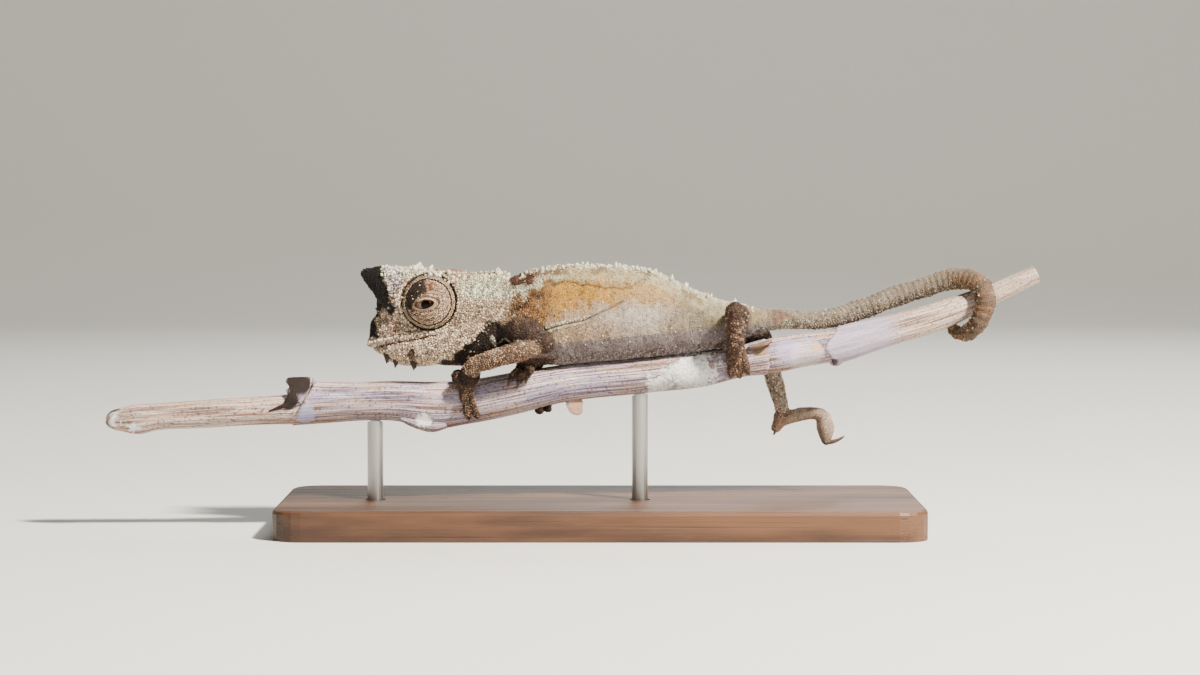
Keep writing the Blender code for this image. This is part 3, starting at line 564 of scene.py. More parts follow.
stub_piece = join_meshes("perch_broken_end_fibrous", [body_mesh(stub, 72, 0.3, (0.7, 0.0), shape=broken_end)])
finish_piece(stub_piece, stub_paint, ("perch_broken_end",))
LIP_ROWS = [
    (-31.2, -1.62, 12.5, 0.3, 0.1, 0.1),
    (-30.5, -1.4, 13.2, 0.85, 0.14, 0.14),
    (-30.1, -0.8, 14.0, 1.15, 0.16, 0.16),
    (-30.0, -0.3, 14.7, 1.3, 0.16, 0.16),
    (-30.1, 0.1, 15.2, 1.2, 0.12, 0.12),
]
SPLINTER_ROWS = [
    (-29.4, -1.5, 12.9, 0.2, 0.12, 0.12),
    (-31.4, -1.6, 12.55, 0.22, 0.12, 0.12),
    (-33.0, -1.45, 11.95, 0.08, 0.06, 0.06),
]
TORN_LOBE_ROWS = [
    (-19.8, -0.9, 11.2, 0.7, 0.25, 0.3),
    (-18.4, -1.0, 10.75, 1.0, 0.45, 0.5),
    (-16.6, -1.05, 10.45, 1.1, 0.5, 0.6),
    (-15.4, -1.0, 10.6, 0.7, 0.3, 0.4),
]
FLAKE_ROWS = [
    (-2.7, -0.5, 13.3, 0.7, 0.14, 0.14),
    (-2.5, -0.8, 12.5, 0.85, 0.12, 0.12),
    (-2.0, -0.9, 11.7, 0.35, 0.08, 0.08),
]


def torn_edge(distance, angle):
    """The ragged outline of a torn flap."""
    return 1.0 + 0.3 * noise.noise(Vector((distance * 1.6, math.cos(angle) * 1.2, 5.0))), 0.0


sheath_parts = [body_mesh(sheath, 90, 0.35, shape=sheath_mouths)]
sheath_parts.append(body_mesh(Course(TORN_LOBE_ROWS), 24, 0.15, (0.1, 0.12), shape=plain_fibres))
sheath_parts.append(body_mesh(Course(SPLINTER_ROWS, (0.0, 0.0, 1.0)), 12, 0.1, (0.05, 0.05)))
for rows in (LIP_ROWS, FLAKE_ROWS):
    sheath_parts.append(body_mesh(Course(rows, (1.0, 0.0, 0.0)), 28, 0.12, (0.1, 0.1), shape=torn_edge))
sheath_piece = join_meshes("perch_sheath_fibrous", sheath_parts)
finish_piece(sheath_piece, first_paint, ("perch_sheath",))
MOUTH_FOLD_ROWS = [
    (14.9, -1.05, 18.35, 0.5, 0.2, 0.2),
    (16.0, -1.1, 18.55, 0.85, 0.26, 0.26),
    (17.0, -1.0, 18.95, 0.5, 0.2, 0.2),
]
second_fold = body_mesh(Course(MOUTH_FOLD_ROWS), 24, 0.15, (0.1, 0.12), shape=torn_edge)
second_body = body_mesh(second, 80, 0.3, shape=plain_fibres)
second_piece = join_meshes("perch_second_sheath_fibrous", [second_body, second_fold])
finish_piece(second_piece, first_paint, ("perch_second_sheath",))
cane_piece = join_meshes("perch_cane_fibrous", [body_mesh(cane, 72, 0.3, (0.0, 0.08), shape=cane_mouth)])
finish_piece(cane_piece, cane_paint, ("perch_cane",))


# The animal's flesh is laid up from overlapping bodies along the same courses as the solids, a
# scale's depth inside them, and then drawn into one closed skin with no seam.
COAT = 0.1
SKIN_CELL = 0.15
EYE_AT = Vector((-16.95, 0.0, 22.95))
TURRET_RADIUS = 2.7
TURRET_SEAT = 2.75
TURRET_RISE = 2.1
SEAT_SLOPE = 0.17
UNDER_TURRET = 2.66
BRAINCASE_ROWS = [
    (-21.9, 0.0, 23.2, 1.1, 1.6, 1.6),
    (-20.9, 0.0, 23.0, 2.4, 2.6, 2.5),
    (-19.2, 0.0, 22.9, 3.0, 3.1, 3.0),
    (-16.9, 0.0, 22.6, 3.5, 3.6, 3.4),
    (-14.2, 0.0, 22.4, 3.9, 3.65, 3.4),
    (-11.8, 0.0, 22.9, 3.8, 3.1, 3.0),
    (-10.2, 0.0, 23.6, 3.3, 2.4, 2.2),
    (-9.1, 0.0, 24.0, 2.7, 1.9, 1.7),
]
JAW_ROWS = [
    (-22.95, 0.0, 18.7, 0.9, 0.5, 0.7),
    (-22.4, 0.0, 18.85, 1.3, 1.9, 1.05),
    (-21.8, 0.0, 19.0, 1.85, 2.65, 1.65),
    (-20.9, 0.0, 19.1, 2.4, 3.2, 2.35),
    (-18.4, 0.0, 19.2, 3.1, 3.3, 2.8),
    (-16.0, 0.0, 19.4, 3.5, 2.8, 2.8),
    (-13.8, 0.0, 20.1, 3.7, 2.6, 2.5),
    (-11.6, 0.0, 21.4, 3.4, 2.2, 2.0),
    (-10.2, 0.0, 22.4, 2.9, 1.8, 1.5),
]
TRUNK_ROWS = [
    (-16.6, 0.0, 17.9, 1.9, 1.5, 1.5),
    (-13.0, 0.0, 19.2, 2.7, 3.0, 3.0),
    (-10.0, 0.0, 20.6, 2.95, 4.1, 4.1),
    (-7.0, 0.0, 21.1, 3.05, 4.5, 4.65),
    (-4.5, 0.0, 21.4, 3.3, 4.85, 5.05),
    (-1.8, 0.0, 21.6, 3.4, 4.8, 5.0),
    (1.0, 0.0, 21.7, 3.4, 4.7, 4.9),
    (4.5, 0.0, 21.6, 3.3, 4.3, 4.55),
    (8.0, 0.05, 21.1, 3.0, 3.2, 3.74),
    (11.5, 0.15, 20.8, 2.7, 2.2, 2.82),
    (14.5, 0.35, 20.9, 2.0, 1.5, 1.7),
    (18.0, 0.9, 21.05, 1.15, 1.05, 1.1),
]
TAIL_ROWS = [
    (22.5, 2.7, 20.95, 1.02, 1.0, 1.0),
    (26.0, 4.6, 21.7, 1.05, 1.05, 1.05),
    (29.5, 5.7, 22.95, 1.1, 1.1, 1.1),
    (33.0, 6.1, 24.1, 1.1, 1.1, 1.1),
    (36.2, 5.6, 24.95, 1.1, 1.1, 1.1),
    (38.5, 3.9, 24.3, 1.08, 1.08, 1.08),
    (38.9, 2.9, 22.4, 1.05, 1.05, 1.05),
    (38.1, 3.2, 20.4, 0.95, 0.95, 0.95),
    (36.8, 4.9, 19.35, 0.8, 0.8, 0.8),
    (35.9, 6.4, 19.9, 0.6, 0.6, 0.6),
    (35.6, 7.1, 21.0, 0.42, 0.42, 0.42),
]
# Each limb: hip or shoulder, knee or elbow, ankle or wrist, and the radius at each of the three.
LEGS = {
    "foreleg_left": ((-9.4, -1.8, 20.6), (-5.4, -4.5, 18.9), (-12.5, -3.8, 16.7), (1.4, 1.1, 0.9)),
    "foreleg_right": ((-9.4, 1.8, 20.6), (-5.6, 4.5, 18.9), (-6.9, 2.9, 17.0), (1.35, 1.05, 0.8)),
    "hindleg_left": ((14.2, -1.2, 20.9), (13.3, -4.6, 22.0), (13.5, -3.35, 18.3), (1.2, 1.05, 0.9)),
    "hindleg_right": ((15.2, 1.6, 20.4), (17.2, 5.3, 16.4), (18.6, 5.9, 11.6), (1.35, 1.0, 0.75)),
}
# Each foot on the stem: its x, its palm's turn round the stem and radius, and for either bundle
# of toes the turn where it ends, how far it slides along the stem and how many toes it has.
FEET = {
    "foreleg_left": (-13.4, 40.0, 1.2, [(-36.0, 0.7, 2), (140.0, -0.4, 3)]),
    "foreleg_right": (-6.7, 112.0, 1.15, [(32.0, -1.3, 3), (286.0, 1.2, 2)]),
    "hindleg_left": (13.5, 32.0, 1.0, [(-40.0, 0.4, 3), (105.0, -1.9, 2)]),
}
TOE_RADIUS = 0.44
TOE_FAN = 9.0
GRIP = 0.05
TRUNK = Course(TRUNK_ROWS + TAIL_ROWS, power=2.1)


def brow_rows(hand):
    return [
        (-16.6, hand * 2.3, 24.0, 1.2, 1.8, 2.0),
        (-18.6, hand * 2.3, 24.1, 1.3, 2.0, 2.2),
        (-20.4, hand * 2.2, 24.1, 1.25, 2.0, 2.1),
        (-21.6, hand * 2.05, 24.35, 0.95, 1.8, 2.15),
        (-22.6, hand * 1.9, 24.95, 0.6, 1.2, 1.35),
        (-23.75, hand * 1.8, 25.8, 0.16, 0.3, 0.3),
    ]


def leg_length(start, end, radii, bulge):
    start, end = Vector(start), Vector(end)
    middle = start.lerp(end, 0.4)
    thick = max(radii) * bulge
    rows = [(*start, *([radii[0]] * 3)), (*middle, *([thick] * 3)), (*end, *([radii[1]] * 3))]
    side = (end - start).normalized().cross(Vector((0.0, 0.0, 1.0)))
    side = side.normalized() if side.length > 0.2 else Vector((0.0, 1.0, 0.0))
    return body_mesh(Course(rows, side), 20, 0.4, (radii[0] * 0.8, radii[1] * 0.9), -COAT)


def toe_course(x, turns, slide, radii, steps=6):
    rows = []
    for k in range(steps + 1):
        share = k / steps
        turn = math.radians(turns[0] + (turns[1] - turns[0]) * share)
        radius = radii[0] + (radii[1] - radii[0]) * share
        radius *= 1.0 + 0.1 * math.cos(share * math.pi * 5.0)
        spot = round_stem(x + slide * share, turn, GRIP + radius * 0.92)
        rows.append((*spot, radius, radius, radius))
    return Course(rows, (1.0, 0.0, 0.0))


toes = []
flesh = [
    body_mesh(Course(BRAINCASE_ROWS, power=2.5), 40, 0.3, (0.4, 0.5), -COAT),
    body_mesh(Course(JAW_ROWS, power=2.4), 40, 0.3, (0.35, 0.5), -COAT),
    body_mesh(TRUNK, 40, 0.4, (0.5, 0.4), -COAT),
]
for hand in (-1, 1):
    brow = Course(brow_rows(hand), power=2.2, upright=True)
    flesh.append(body_mesh(brow, 20, 0.25, (0.3, 0.1), -0.04))
for name, (hip, knee, ankle, radii) in LEGS.items():
    flesh.append(leg_length(hip, knee, radii[:2], 1.1))
    flesh.append(leg_length(knee, ankle, (radii[1] * 0.92, radii[2]), 1.05))
    if name in FEET:
        x, palm_turn, palm_radius, lobes = FEET[name]
        palm = round_stem(x, math.radians(palm_turn), GRIP + palm_radius * 0.72)
        flesh.append(leg_length(ankle, palm, (radii[2] * 0.95, palm_radius * 0.9), 1.0))
        for ends, slide, count in lobes:
            for k in range(count):
                side = k - (count - 1) / 2
                reach = ends - math.copysign(TOE_FAN, ends - palm_turn) * abs(side)
                across = side * TOE_RADIUS * 1.6
                sizes = (TOE_RADIUS * 1.25, TOE_RADIUS * 0.82)
                toes.append(toe_course(x + across * 0.7, (palm_turn, reach), slide + across * 0.5, sizes))
FREE_FOOT_ROWS = [
    (18.3, 5.9, 10.6, 0.8, 0.9, 0.9),
    (19.6, 6.0, 10.9, 0.8, 0.8, 0.8),
    (21.3, 6.0, 11.2, 0.75, 0.75, 0.7),
    (22.6, 6.0, 11.0, 0.9, 0.75, 0.8),
    (23.0, 6.0, 9.6, 1.0, 0.95, 0.95),
    (23.1, 6.0, 8.4, 0.75, 0.6, 0.6),
]
FREE_HEEL_ROWS = [(18.4, 5.9, 10.6, 0.8, 0.8, 0.8), (17.9, 5.9, 9.7, 0.6, 0.6, 0.6)]
flesh.append(body_mesh(Course(FREE_FOOT_ROWS), 20, 0.3, (0.7, 0.6), -COAT))
flesh.append(body_mesh(Course(FREE_HEEL_ROWS), 20, 0.3, (0.5, 0.5), -COAT))
flesh += [body_mesh(toe, 14, 0.3, (TOE_RADIUS, TOE_RADIUS * 0.8), -COAT * 0.6) for toe in toes]
skin = join_meshes("skin", flesh)
remesh = skin.modifiers.new("remesh", "REMESH")
remesh.mode = "VOXEL"
remesh.voxel_size = SKIN_CELL
remesh.adaptivity = 0.0
drawn_skin = bpy.data.meshes.new_from_object(skin.evaluated_get(bpy.context.evaluated_depsgraph_get()))
skin.modifiers.clear()
skin.data = drawn_skin

# Lines of the animal's left side, seen from that side as (x, z).
MOUTH = [
    (-24.0, 17.9), (-23.0, 18.15), (-22.2, 18.35), (-21.2, 18.6), (-20.0, 18.9), (-18.2, 19.2), (-16.2, 19.7),
]
UNDER_EYE = [(-19.2, 20.0), (-18.2, 20.05), (-16.6, 20.3), (-15.2, 20.9)]
SIDE_LINE = [(-5.6, 20.1), (-3.4, 20.75), (-1.6, 21.1), (0.2, 21.9), (2.2, 22.9)]
BACK_LINE = [
    (-10.2, 23.1), (-8.4, 23.7), (-6.9, 24.6), (-5.2, 25.3),
    (-2.6, 25.45), (0.6, 24.95), (3.0, 24.9), (5.0, 25.3),
]
NOSTRIL_AT = (-20.4, 20.1)


def read(items, name, width=1, kind=float):
    """One value, or one row of values, for each vertex, loop or face of a mesh."""
    values = np.empty(len(items) * width, dtype=kind)
    items.foreach_get(name, values)
    return values.reshape(-1, width) if width > 1 else values


def off_line(points, line):
    """Distance, seen from the side, from a bent line."""
    flat = points[:, (0, 2)]
    nearest = np.full(len(points), 1e9)
    for start, end in zip(line, line[1:]):
        start = np.array(start)
        run = np.array(end) - start
        share = np.clip((flat - start) @ run / (run @ run), 0.0, 1.0)
        nearest = np.minimum(nearest, np.linalg.norm(flat - start - share[:, None] * run, axis=1))
    return nearest


def off_course(points, course, gap=0.5):
    """Distance from a course's surface, and how far along the nearest station lies."""
    nearest = np.full(len(points), 1e9)
    along = np.zeros(len(points))
    for distance in np.arange(0.0, course.length + gap, gap):
        centre, way, side, up, sizes = course.at(min(distance, course.length))
        away = np.linalg.norm(points - np.array(centre), axis=1) - max(sizes)
        closer = away < nearest
        nearest[closer] = away[closer]
        along[closer] = distance
    return nearest, along


def bell(distance, width):
    return np.exp(-((distance / width) ** 2))


def soft(value, low, high):
    share = np.clip((value - low) / (high - low), 0.0, 1.0)
    return share * share * (3.0 - 2.0 * share)


def wave(points, size, seed):
    """Smooth irregular values between about -1 and 1."""
    draw = np.random.default_rng(seed)
    total = np.zeros(len(points))
    for _ in range(7):
        way = draw.normal(size=3)
        way *= 2.0 * math.pi / (size * draw.uniform(0.7, 1.6) * np.linalg.norm(way))
        total += np.sin(points @ way + draw.uniform(0.0, 6.3))
    return total / 2.6


def off_eye(points):
    """Distance, seen from the side, from the middle of the eye turret."""
    return np.hypot(points[:, 0] - EYE_AT.x, points[:, 2] - EYE_AT.z)


def head_relief(spots, normals):
    """The lips, the groove round each turret, the crease under the eye and the nostril."""
    on_head = 1.0 - soft(spots[:, 0], -10.5, -8.5)
    sideways = soft(np.abs(normals[:, 1]), 0.2, 0.6)
    lips = soft(-spots[:, 0], 15.5, 17.5)
    off_mouth = off_line(spots, MOUTH)
    off_nostril = np.hypot(spots[:, 0] - NOSTRIL_AT[0], spots[:, 2] - NOSTRIL_AT[1])
    mouth = lips * (-0.2 * bell(off_mouth, 0.12) + 0.09 * bell(off_mouth - 0.38, 0.2))
    socket = -0.28 * bell(off_eye(spots) - 2.72, 0.16) + 0.1 * bell(off_eye(spots) - 3.15, 0.22)
    crease = -0.14 * bell(off_line(spots, UNDER_EYE), 0.14)
    nostril = 0.16 * bell(off_nostril - 0.38, 0.14) - 0.3 * bell(off_nostril, 0.19)
    return mouth + sideways * on_head * (socket + crease + nostril)


def trunk_relief(spots, normals):
    """The ridge along the spine, the one on each side of the back and the fold behind the elbow."""
    outer = np.abs(spots[:, 1])
    sideways = soft(np.abs(normals[:, 1]), 0.2, 0.6)
    upward = soft(normals[:, 2], 0.3, 0.8)
    on_trunk = soft(spots[:, 0], -9.0, -7.0) * (1.0 - soft(spots[:, 0], 14.0, 16.0))
    off_fold = off_line(spots, SIDE_LINE)
    spine = on_trunk * upward * 0.28 * bell(outer, 0.5)
    side_ridge = np.where(outer > 0.8, 0.17, 0.0) * bell(off_line(spots, BACK_LINE), 0.28)
    return spine + side_ridge + sideways * 0.1 * (bell(off_fold - 0.22, 0.14) - bell(off_fold, 0.12))


def tail_rings(spots):
    """Fine rings round the tail, square to its own line."""
    gap, along = off_course(spots, TRUNK)
    start = TRUNK.reach(16.0)
    on_tail = soft(along, start - 2.0, start + 2.0) * (1.0 - soft(gap, 0.1, 0.5))
    share = np.zeros(len(spots))
    for number in np.nonzero(on_tail > 0.01)[0]:
        centre, way, side, up, sizes = TRUNK.at(along[number])
        share[number] = along[number] + (Vector(spots[number]) - centre).dot(way)
    return on_tail * RING_DEPTH * np.cos(2.0 * math.pi * share / RING_GAP)


def turret_cups(spots, bare):
    """How far the skin is drawn in to clear the inside of each turret."""
    cup = TURRET_SEAT + SEAT_SLOPE * (spots[:, 0] - EYE_AT.x) - 0.2
    cup += TURRET_RISE * np.sqrt(np.clip(1.0 - (off_eye(bare) / TURRET_RADIUS) ** 2, 0.0, 1.0))
    deep = np.abs(spots[:, 1]) - np.maximum(cup, 1.8)
    in_cup = (off_eye(bare) < 2.68) & (np.abs(bare[:, 1]) > 1.8) & (deep > 0.0)
    return np.where(in_cup, np.sign(spots[:, 1]) * deep, 0.0)


RING_GAP = 0.62
RING_DEPTH = 0.04
bare = read(skin.data.vertices, "co", 3)
normals = read(skin.data.vertices, "normal", 3)
lift = wave(bare, 1.5, 3) * 0.045 + wave(bare, 0.7, 5) * 0.02
lift += head_relief(bare, normals) + trunk_relief(bare, normals) + tail_rings(bare)
spots = bare + normals * lift[:, None]
spots[:, 1] -= turret_cups(spots, bare)
skin.data.vertices.foreach_set("co", spots.ravel())
skin.data.update()

# An unwrap of the skin gives each scale its place in the bake.
bpy.context.view_layer.objects.active = skin
skin.select_set(True)
bpy.ops.object.mode_set(mode="EDIT")
bpy.ops.mesh.select_all(action="SELECT")
bpy.ops.uv.smart_project(angle_limit=math.radians(66.0), island_margin=0.002)
bpy.ops.object.mode_set(mode="OBJECT")
unwrap = read(skin.data.uv_layers.active.data, "uv", 2)
face_places = unwrap[read(skin.data.polygons, "loop_start", kind=np.int32)]

# The animal's markings: tan head, green-white crests and casque, ochre flank, grey belly, dark legs, with
# painted shade and one painted highlight laid in among them. They are worked out at a place on the body, so
# that the hide and the scales over it carry the same ones, as a vertex colour.
HEAD_TAN = tint(210, 188, 168)
CREAM_WHITE = tint(228, 224, 204)
GREEN_WHITE = tint(222, 221, 198)
DARK_BROWN = tint(72, 55, 46)
OCHRE = tint(204, 162, 102)
BEIGE = tint(196, 178, 152)
PINK_PALE = tint(212, 196, 182)
TAIL_GREY = tint(150, 139, 126)
ORANGE_BROWN = tint(178, 128, 88)
BELLY_SHADOW_GREY = tint(152, 143, 147)
ANIMAL_LIMBS = []
for name, (hip, knee, ankle, radii) in LEGS.items():
    shank = (*knee, radii[1], radii[1], radii[1])
    limb_line = Course([(*hip, *([radii[0]] * 3)), shank, (*ankle, *([radii[2]] * 3))], (0.0, 1.0, 0.0))
    ANIMAL_LIMBS.append((name, limb_line))
FREE_FOOT = Course(FREE_FOOT_ROWS)


def lips_line(points):
    """Where the mouth and the crease under the eye show as dark lines."""
    outer = soft(np.abs(points[:, 1]), 0.4, 0.9)
    mouth_line = bell(off_line(points, MOUTH), 0.11)
    return outer * np.maximum(mouth_line, 0.8 * bell(off_line(points, UNDER_EYE), 0.12))


def vivid(colours):
    """The same colours further from grey, which the view's soft curve takes back."""
    grey = colours.mean(axis=1)[:, None]
    return np.clip(grey + (colours - grey) * 1.35, 0.0, 1.0)


def socket_groove(points):
    """Painted shade in the groove in which each eye turret turns."""
    return soft(np.abs(points[:, 1]), 1.6, 2.2) * bell(off_eye(points) - 2.74, 0.14)


def lay(colour, layers):
    """Shades laid one over another, each as far as its own mask lets it show."""
    for shade, mask in layers:
        colour = colour + (np.array(shade) - colour) * np.clip(mask, 0.0, 1.0)[:, None]
    return colour


class Places:
    """Points on the body, and a side view of them in which the edge of every marking wanders."""

    def __init__(self, points):
        self.points = points
        self.wander = points + np.stack([wave(points, 1.6, seed) for seed in (11, 12, 13)], axis=1) * 0.35
        self.x, self.y, self.z = self.wander.T
        self.out = np.abs(points[:, 1])

    def oval(self, cx, cz, rx, rz, edge=0.3):
        return 1.0 - soft(np.hypot((self.x - cx) / rx, (self.z - cz) / rz), 1.0 - edge, 1.0 + edge)

    def near(self, line, wander=1.0):
        return off_line(self.wander * wander + self.points * (1.0 - wander), line)


TOP_FROM, TOP_TO = -16.0, 20.0
TOP_STATIONS = np.arange(TOP_FROM, TOP_TO, 1.0)
TOP_STOPS = [TRUNK.at(TRUNK.reach(x)) for x in TOP_STATIONS]
TOP_HEIGHTS = [stop[0].z + stop[4][1] for stop in TOP_STOPS]
UNDER_RIDGE = [(-5.4, 24.7), (-3.0, 24.85), (0.6, 24.35), (3.0, 24.4), (4.6, 25.2)]
NECK_DARK = [(-8.6, 22.4), (-6.9, 22.9), (-5.9, 23.7)]
NECK_PALE = [(-10.4, 23.4), (-7.6, 24.0), (-5.8, 24.9)]
# Each patch of the flank: its shade, middle, half length and height, softness of edge, strength.
FLANK_PATCHES = (
    (tint(206, 176, 138), (0.5, 23.2, 8.0, 3.2, 0.4), 1.0),
    (OCHRE, (-2.5, 24.0, 4.3, 2.3, 0.7), 0.95),
    (PINK_PALE, (2.0, 20.6, 5.6, 2.0, 0.5), 0.9),
    (tint(230, 222, 212), (4.0, 21.6, 3.2, 1.1, 0.6), 0.8),
    (PINK_PALE, (8.6, 21.2, 2.3, 1.0, 0.35), 0.8),
    (tint(206, 182, 158), (-2.6, 19.8, 3.0, 1.3, 0.5), 0.9),
    (ORANGE_BROWN, (-6.6, 22.0, 1.6, 1.6, 0.5), 0.6),
    # The next patch is a painted shadow in the groin before the hind leg.
    (tint(142, 136, 118), (10.6, 21.6, 3.4, 2.4, 0.5), 0.7),
)


def flank_layers(at):
    x, points = at.x, at.points
    layers = [(tint(168, 148, 122), soft(x, 5.0, 9.0))]
    layers += [(shade, at.oval(*oval) * strength) for shade, oval, strength in FLANK_PATCHES]
    # The belly band: grey skin, darkened below a crisp edge as painted shadow.
    belly_line = 18.75 + 0.1 * np.clip(points[:, 0] + 5.0, 0.0, 30.0)
    belly = 1.0 - soft(points[:, 2] - belly_line, -0.18, 0.12)
    layers.append((BELLY_SHADOW_GREY, belly * soft(x, -7.5, -5.5) * 0.85))
    return layers


def back_layers(at):
    """The saddle behind the neck, the pale ridge with its diamonds, and the lines down the side."""
    x, points = at.x, at.points
    under_top = at.z - np.interp(np.clip(points[:, 0], TOP_FROM, 35.0), TOP_STATIONS, TOP_HEIGHTS)
    saddle = soft(under_top, -1.9, -1.1) * soft(x, -9.0, -7.5) * (1.0 - soft(x, -4.5, -2.5))
    pale_back = soft(under_top, -1.7, -0.7) * soft(x, -4.0, -2.0) * (1.0 - soft(x, 12.0, 15.0))
    crown = soft(under_top, -0.9, -0.3) * (1.0 - soft(at.out, 1.6, 2.4))
    diamonds = soft(np.cos(2.0 * math.pi * points[:, 0] / 4.6) + 0.4 * wave(points, 1.4, 17), -0.1, 0.5)
    spine_reach = at.out / (1.0 + 0.25 * wave(points, 1.2, 16))
    ridge = (1.0 - soft(spine_reach, 0.5, 1.0)) * soft(under_top, -1.2, -0.6)
    ridge *= soft(x, -9.0, -7.5) * (1.0 - soft(x, 13.5, 16.5))
    side_line = at.near(SIDE_LINE, 0.0)
    neck = at.oval(-7.3, 23.3, 2.7, 2.7, 0.35)
    return [
        (tint(132, 104, 80), saddle * 0.8),
        (tint(208, 200, 172), pale_back * 0.75),
        (tint(140, 116, 92), crown * diamonds * soft(x, -8.0, -6.0) * 0.7),
        (GREEN_WHITE, ridge * 0.9),
        (GREEN_WHITE, bell(at.near(BACK_LINE, 0.5), 0.34) * (0.95 - 0.75 * soft(x, -4.5, -2.0))),
        (tint(92, 70, 50), bell(at.near(UNDER_RIDGE, 0.3), 0.12) * (0.85 - 0.4 * soft(x, 0.0, 4.0))),
        (CREAM_WHITE, bell(side_line - 0.18, 0.18) * (0.85 - 0.75 * soft(x, -3.6, -1.0))),
        (tint(104, 80, 62), bell(side_line, 0.1) * (0.8 - 0.35 * soft(x, -2.0, 1.5))),
        (tint(158, 122, 94), neck * 0.75),
        (tint(74, 56, 46), neck * bell(at.near(NECK_DARK), 0.3) * 0.8),
        (GREEN_WHITE, bell(at.near(NECK_PALE), 0.42)),
    ]


def head_share(at):
    rear_edge = np.where(at.z < 22.0, -9.4 - 1.2 * (22.0 - at.z), -9.4)
    return 1.0 - soft(at.x - rear_edge, -0.3, 0.3)


def head_layers(at):
    """Tan cheeks, pale crests and lips and the nostril's ring, with a painted highlight on the jaw and
    painted shadow on the throat, the socket grooves and the fronts of the visor and muzzle.
    """
    x, z = at.x, at.z
    on_head = head_share(at)
    # Painted shadow over the throat and neck behind the cheek.
    throat = (1.0 - soft(x, -7.4, -6.2)) * (1.0 - on_head) * (1.0 - soft(z, 20.6, 21.8))
    between_crests = 1.0 - soft(at.out, 1.0, 1.6)
    nostril_ring = bell(np.hypot(x + 20.6, z - 20.2) - 0.45, 0.16)
    visor = np.interp(z, (21.6, 22.5, 24.2, 26.1), (-20.3, -20.45, -21.1, -21.6)) - x
    muzzle = soft(np.interp(z, (18.6, 19.5, 21.3), (-22.6, -22.0, -21.9)) - x, 0.0, 0.5)
    return [
        (tint(56, 42, 36), throat),
        (HEAD_TAN, on_head),
        # A painted highlight lightens the jaw, which faces down.
        (tint(250, 226, 204), at.oval(-17.0, 18.5, 5.4, 1.9, 0.5) * on_head),
        (tint(240, 216, 198), at.oval(-20.3, 20.6, 1.6, 1.9, 0.4) * on_head * 0.9),
        (GREEN_WHITE, at.oval(-11.6, 24.3, 2.5, 1.35)),
        (CREAM_WHITE, soft(z, 25.0, 25.7) * (1.0 - soft(x, -16.2, -14.8))),
        (CREAM_WHITE, at.oval(-10.2, 25.7, 1.5, 0.6, 0.5)),
        (tint(150, 124, 104), between_crests * soft(z, 24.0, 25.0) * on_head * 0.75),
        (tint(204, 196, 206), at.oval(-20.6, 25.2, 1.0, 1.2) * 0.7),
        (tint(92, 62, 52), at.oval(-7.9, 25.0, 1.4, 0.75, 0.3)),
        (DARK_BROWN, at.oval(-18.7, 17.9, 0.5, 0.28, 0.5) * 0.9),
        (tint(176, 110, 92), nostril_ring * 0.4),
        (tint(30, 22, 18), socket_groove(at.points) * 0.95),
        # Painted shadow on the fronts of the visor and the muzzle.
        (tint(24, 21, 19), soft(visor, 0.0, 0.35) * soft(z, 21.8, 22.2)),
        (tint(32, 26, 24), muzzle * (1.0 - soft(z, 21.6, 22.2)) * soft(z, 18.7, 19.3)),
    ]


def tail_layer(at):
    points = at.points
    gap, along = off_course(points, TRUNK, 0.4)
    far = soft(along, TRUNK.reach(33.0), TRUNK.length - 10.0)
    tail_layers = [
        (tint(164, 157, 142), 1.0 - soft(at.x, 17.0, 23.0)),
        (tint(126, 98, 84), at.oval(18.2, 21.2, 1.2, 0.5, 0.6) * 0.8),
        (tint(126, 108, 94), far),
        (tint(166, 128, 100), far * soft(wave(points, 1.4, 21), 0.1, 0.8) * 0.45),
    ]
    on_tail = soft(along, TRUNK.reach(14.0), TRUNK.reach(18.0)) * (1.0 - soft(gap, 0.3, 0.8))
    return lay(np.array(TAIL_GREY), tail_layers), on_tail


# The shade of each limb above its knee or elbow, and below it.
LIMB_SHADES = {
    # Above the elbow the forelegs are dark brown, deepened further as painted shadow.
    "foreleg_left": (tint(82, 66, 58), tint(178, 150, 132)),
    "foreleg_right": (tint(82, 66, 58), tint(178, 150, 132)),
    "hindleg_left": (tint(80, 62, 54), tint(106, 85, 75)),
    "hindleg_right": (tint(188, 172, 158), tint(224, 210, 196)),
}


def limb_layer(points, name, limb_line):
    gap, along = off_course(points, limb_line, 0.4)
    own_side = np.sign(limb_line.rows[-1][1]) * points[:, 1] > -0.3
    lower = soft(along, limb_line.length * 0.48, limb_line.length * 0.6)
    streak = soft(wave(points * np.array((0.5, 1.0, 1.6)), 0.8, 31), 0.2, 0.9)
    shade, below = LIMB_SHADES[name]
    limb_layers = [(below, lower * 0.85), (tint(198, 172, 152), streak * lower * 0.6)]
    on_limb = (1.0 - soft(gap, 0.05, 0.45)) * soft(along, 0.8, 2.2) * own_side
    return lay(np.array(shade), limb_layers), on_limb


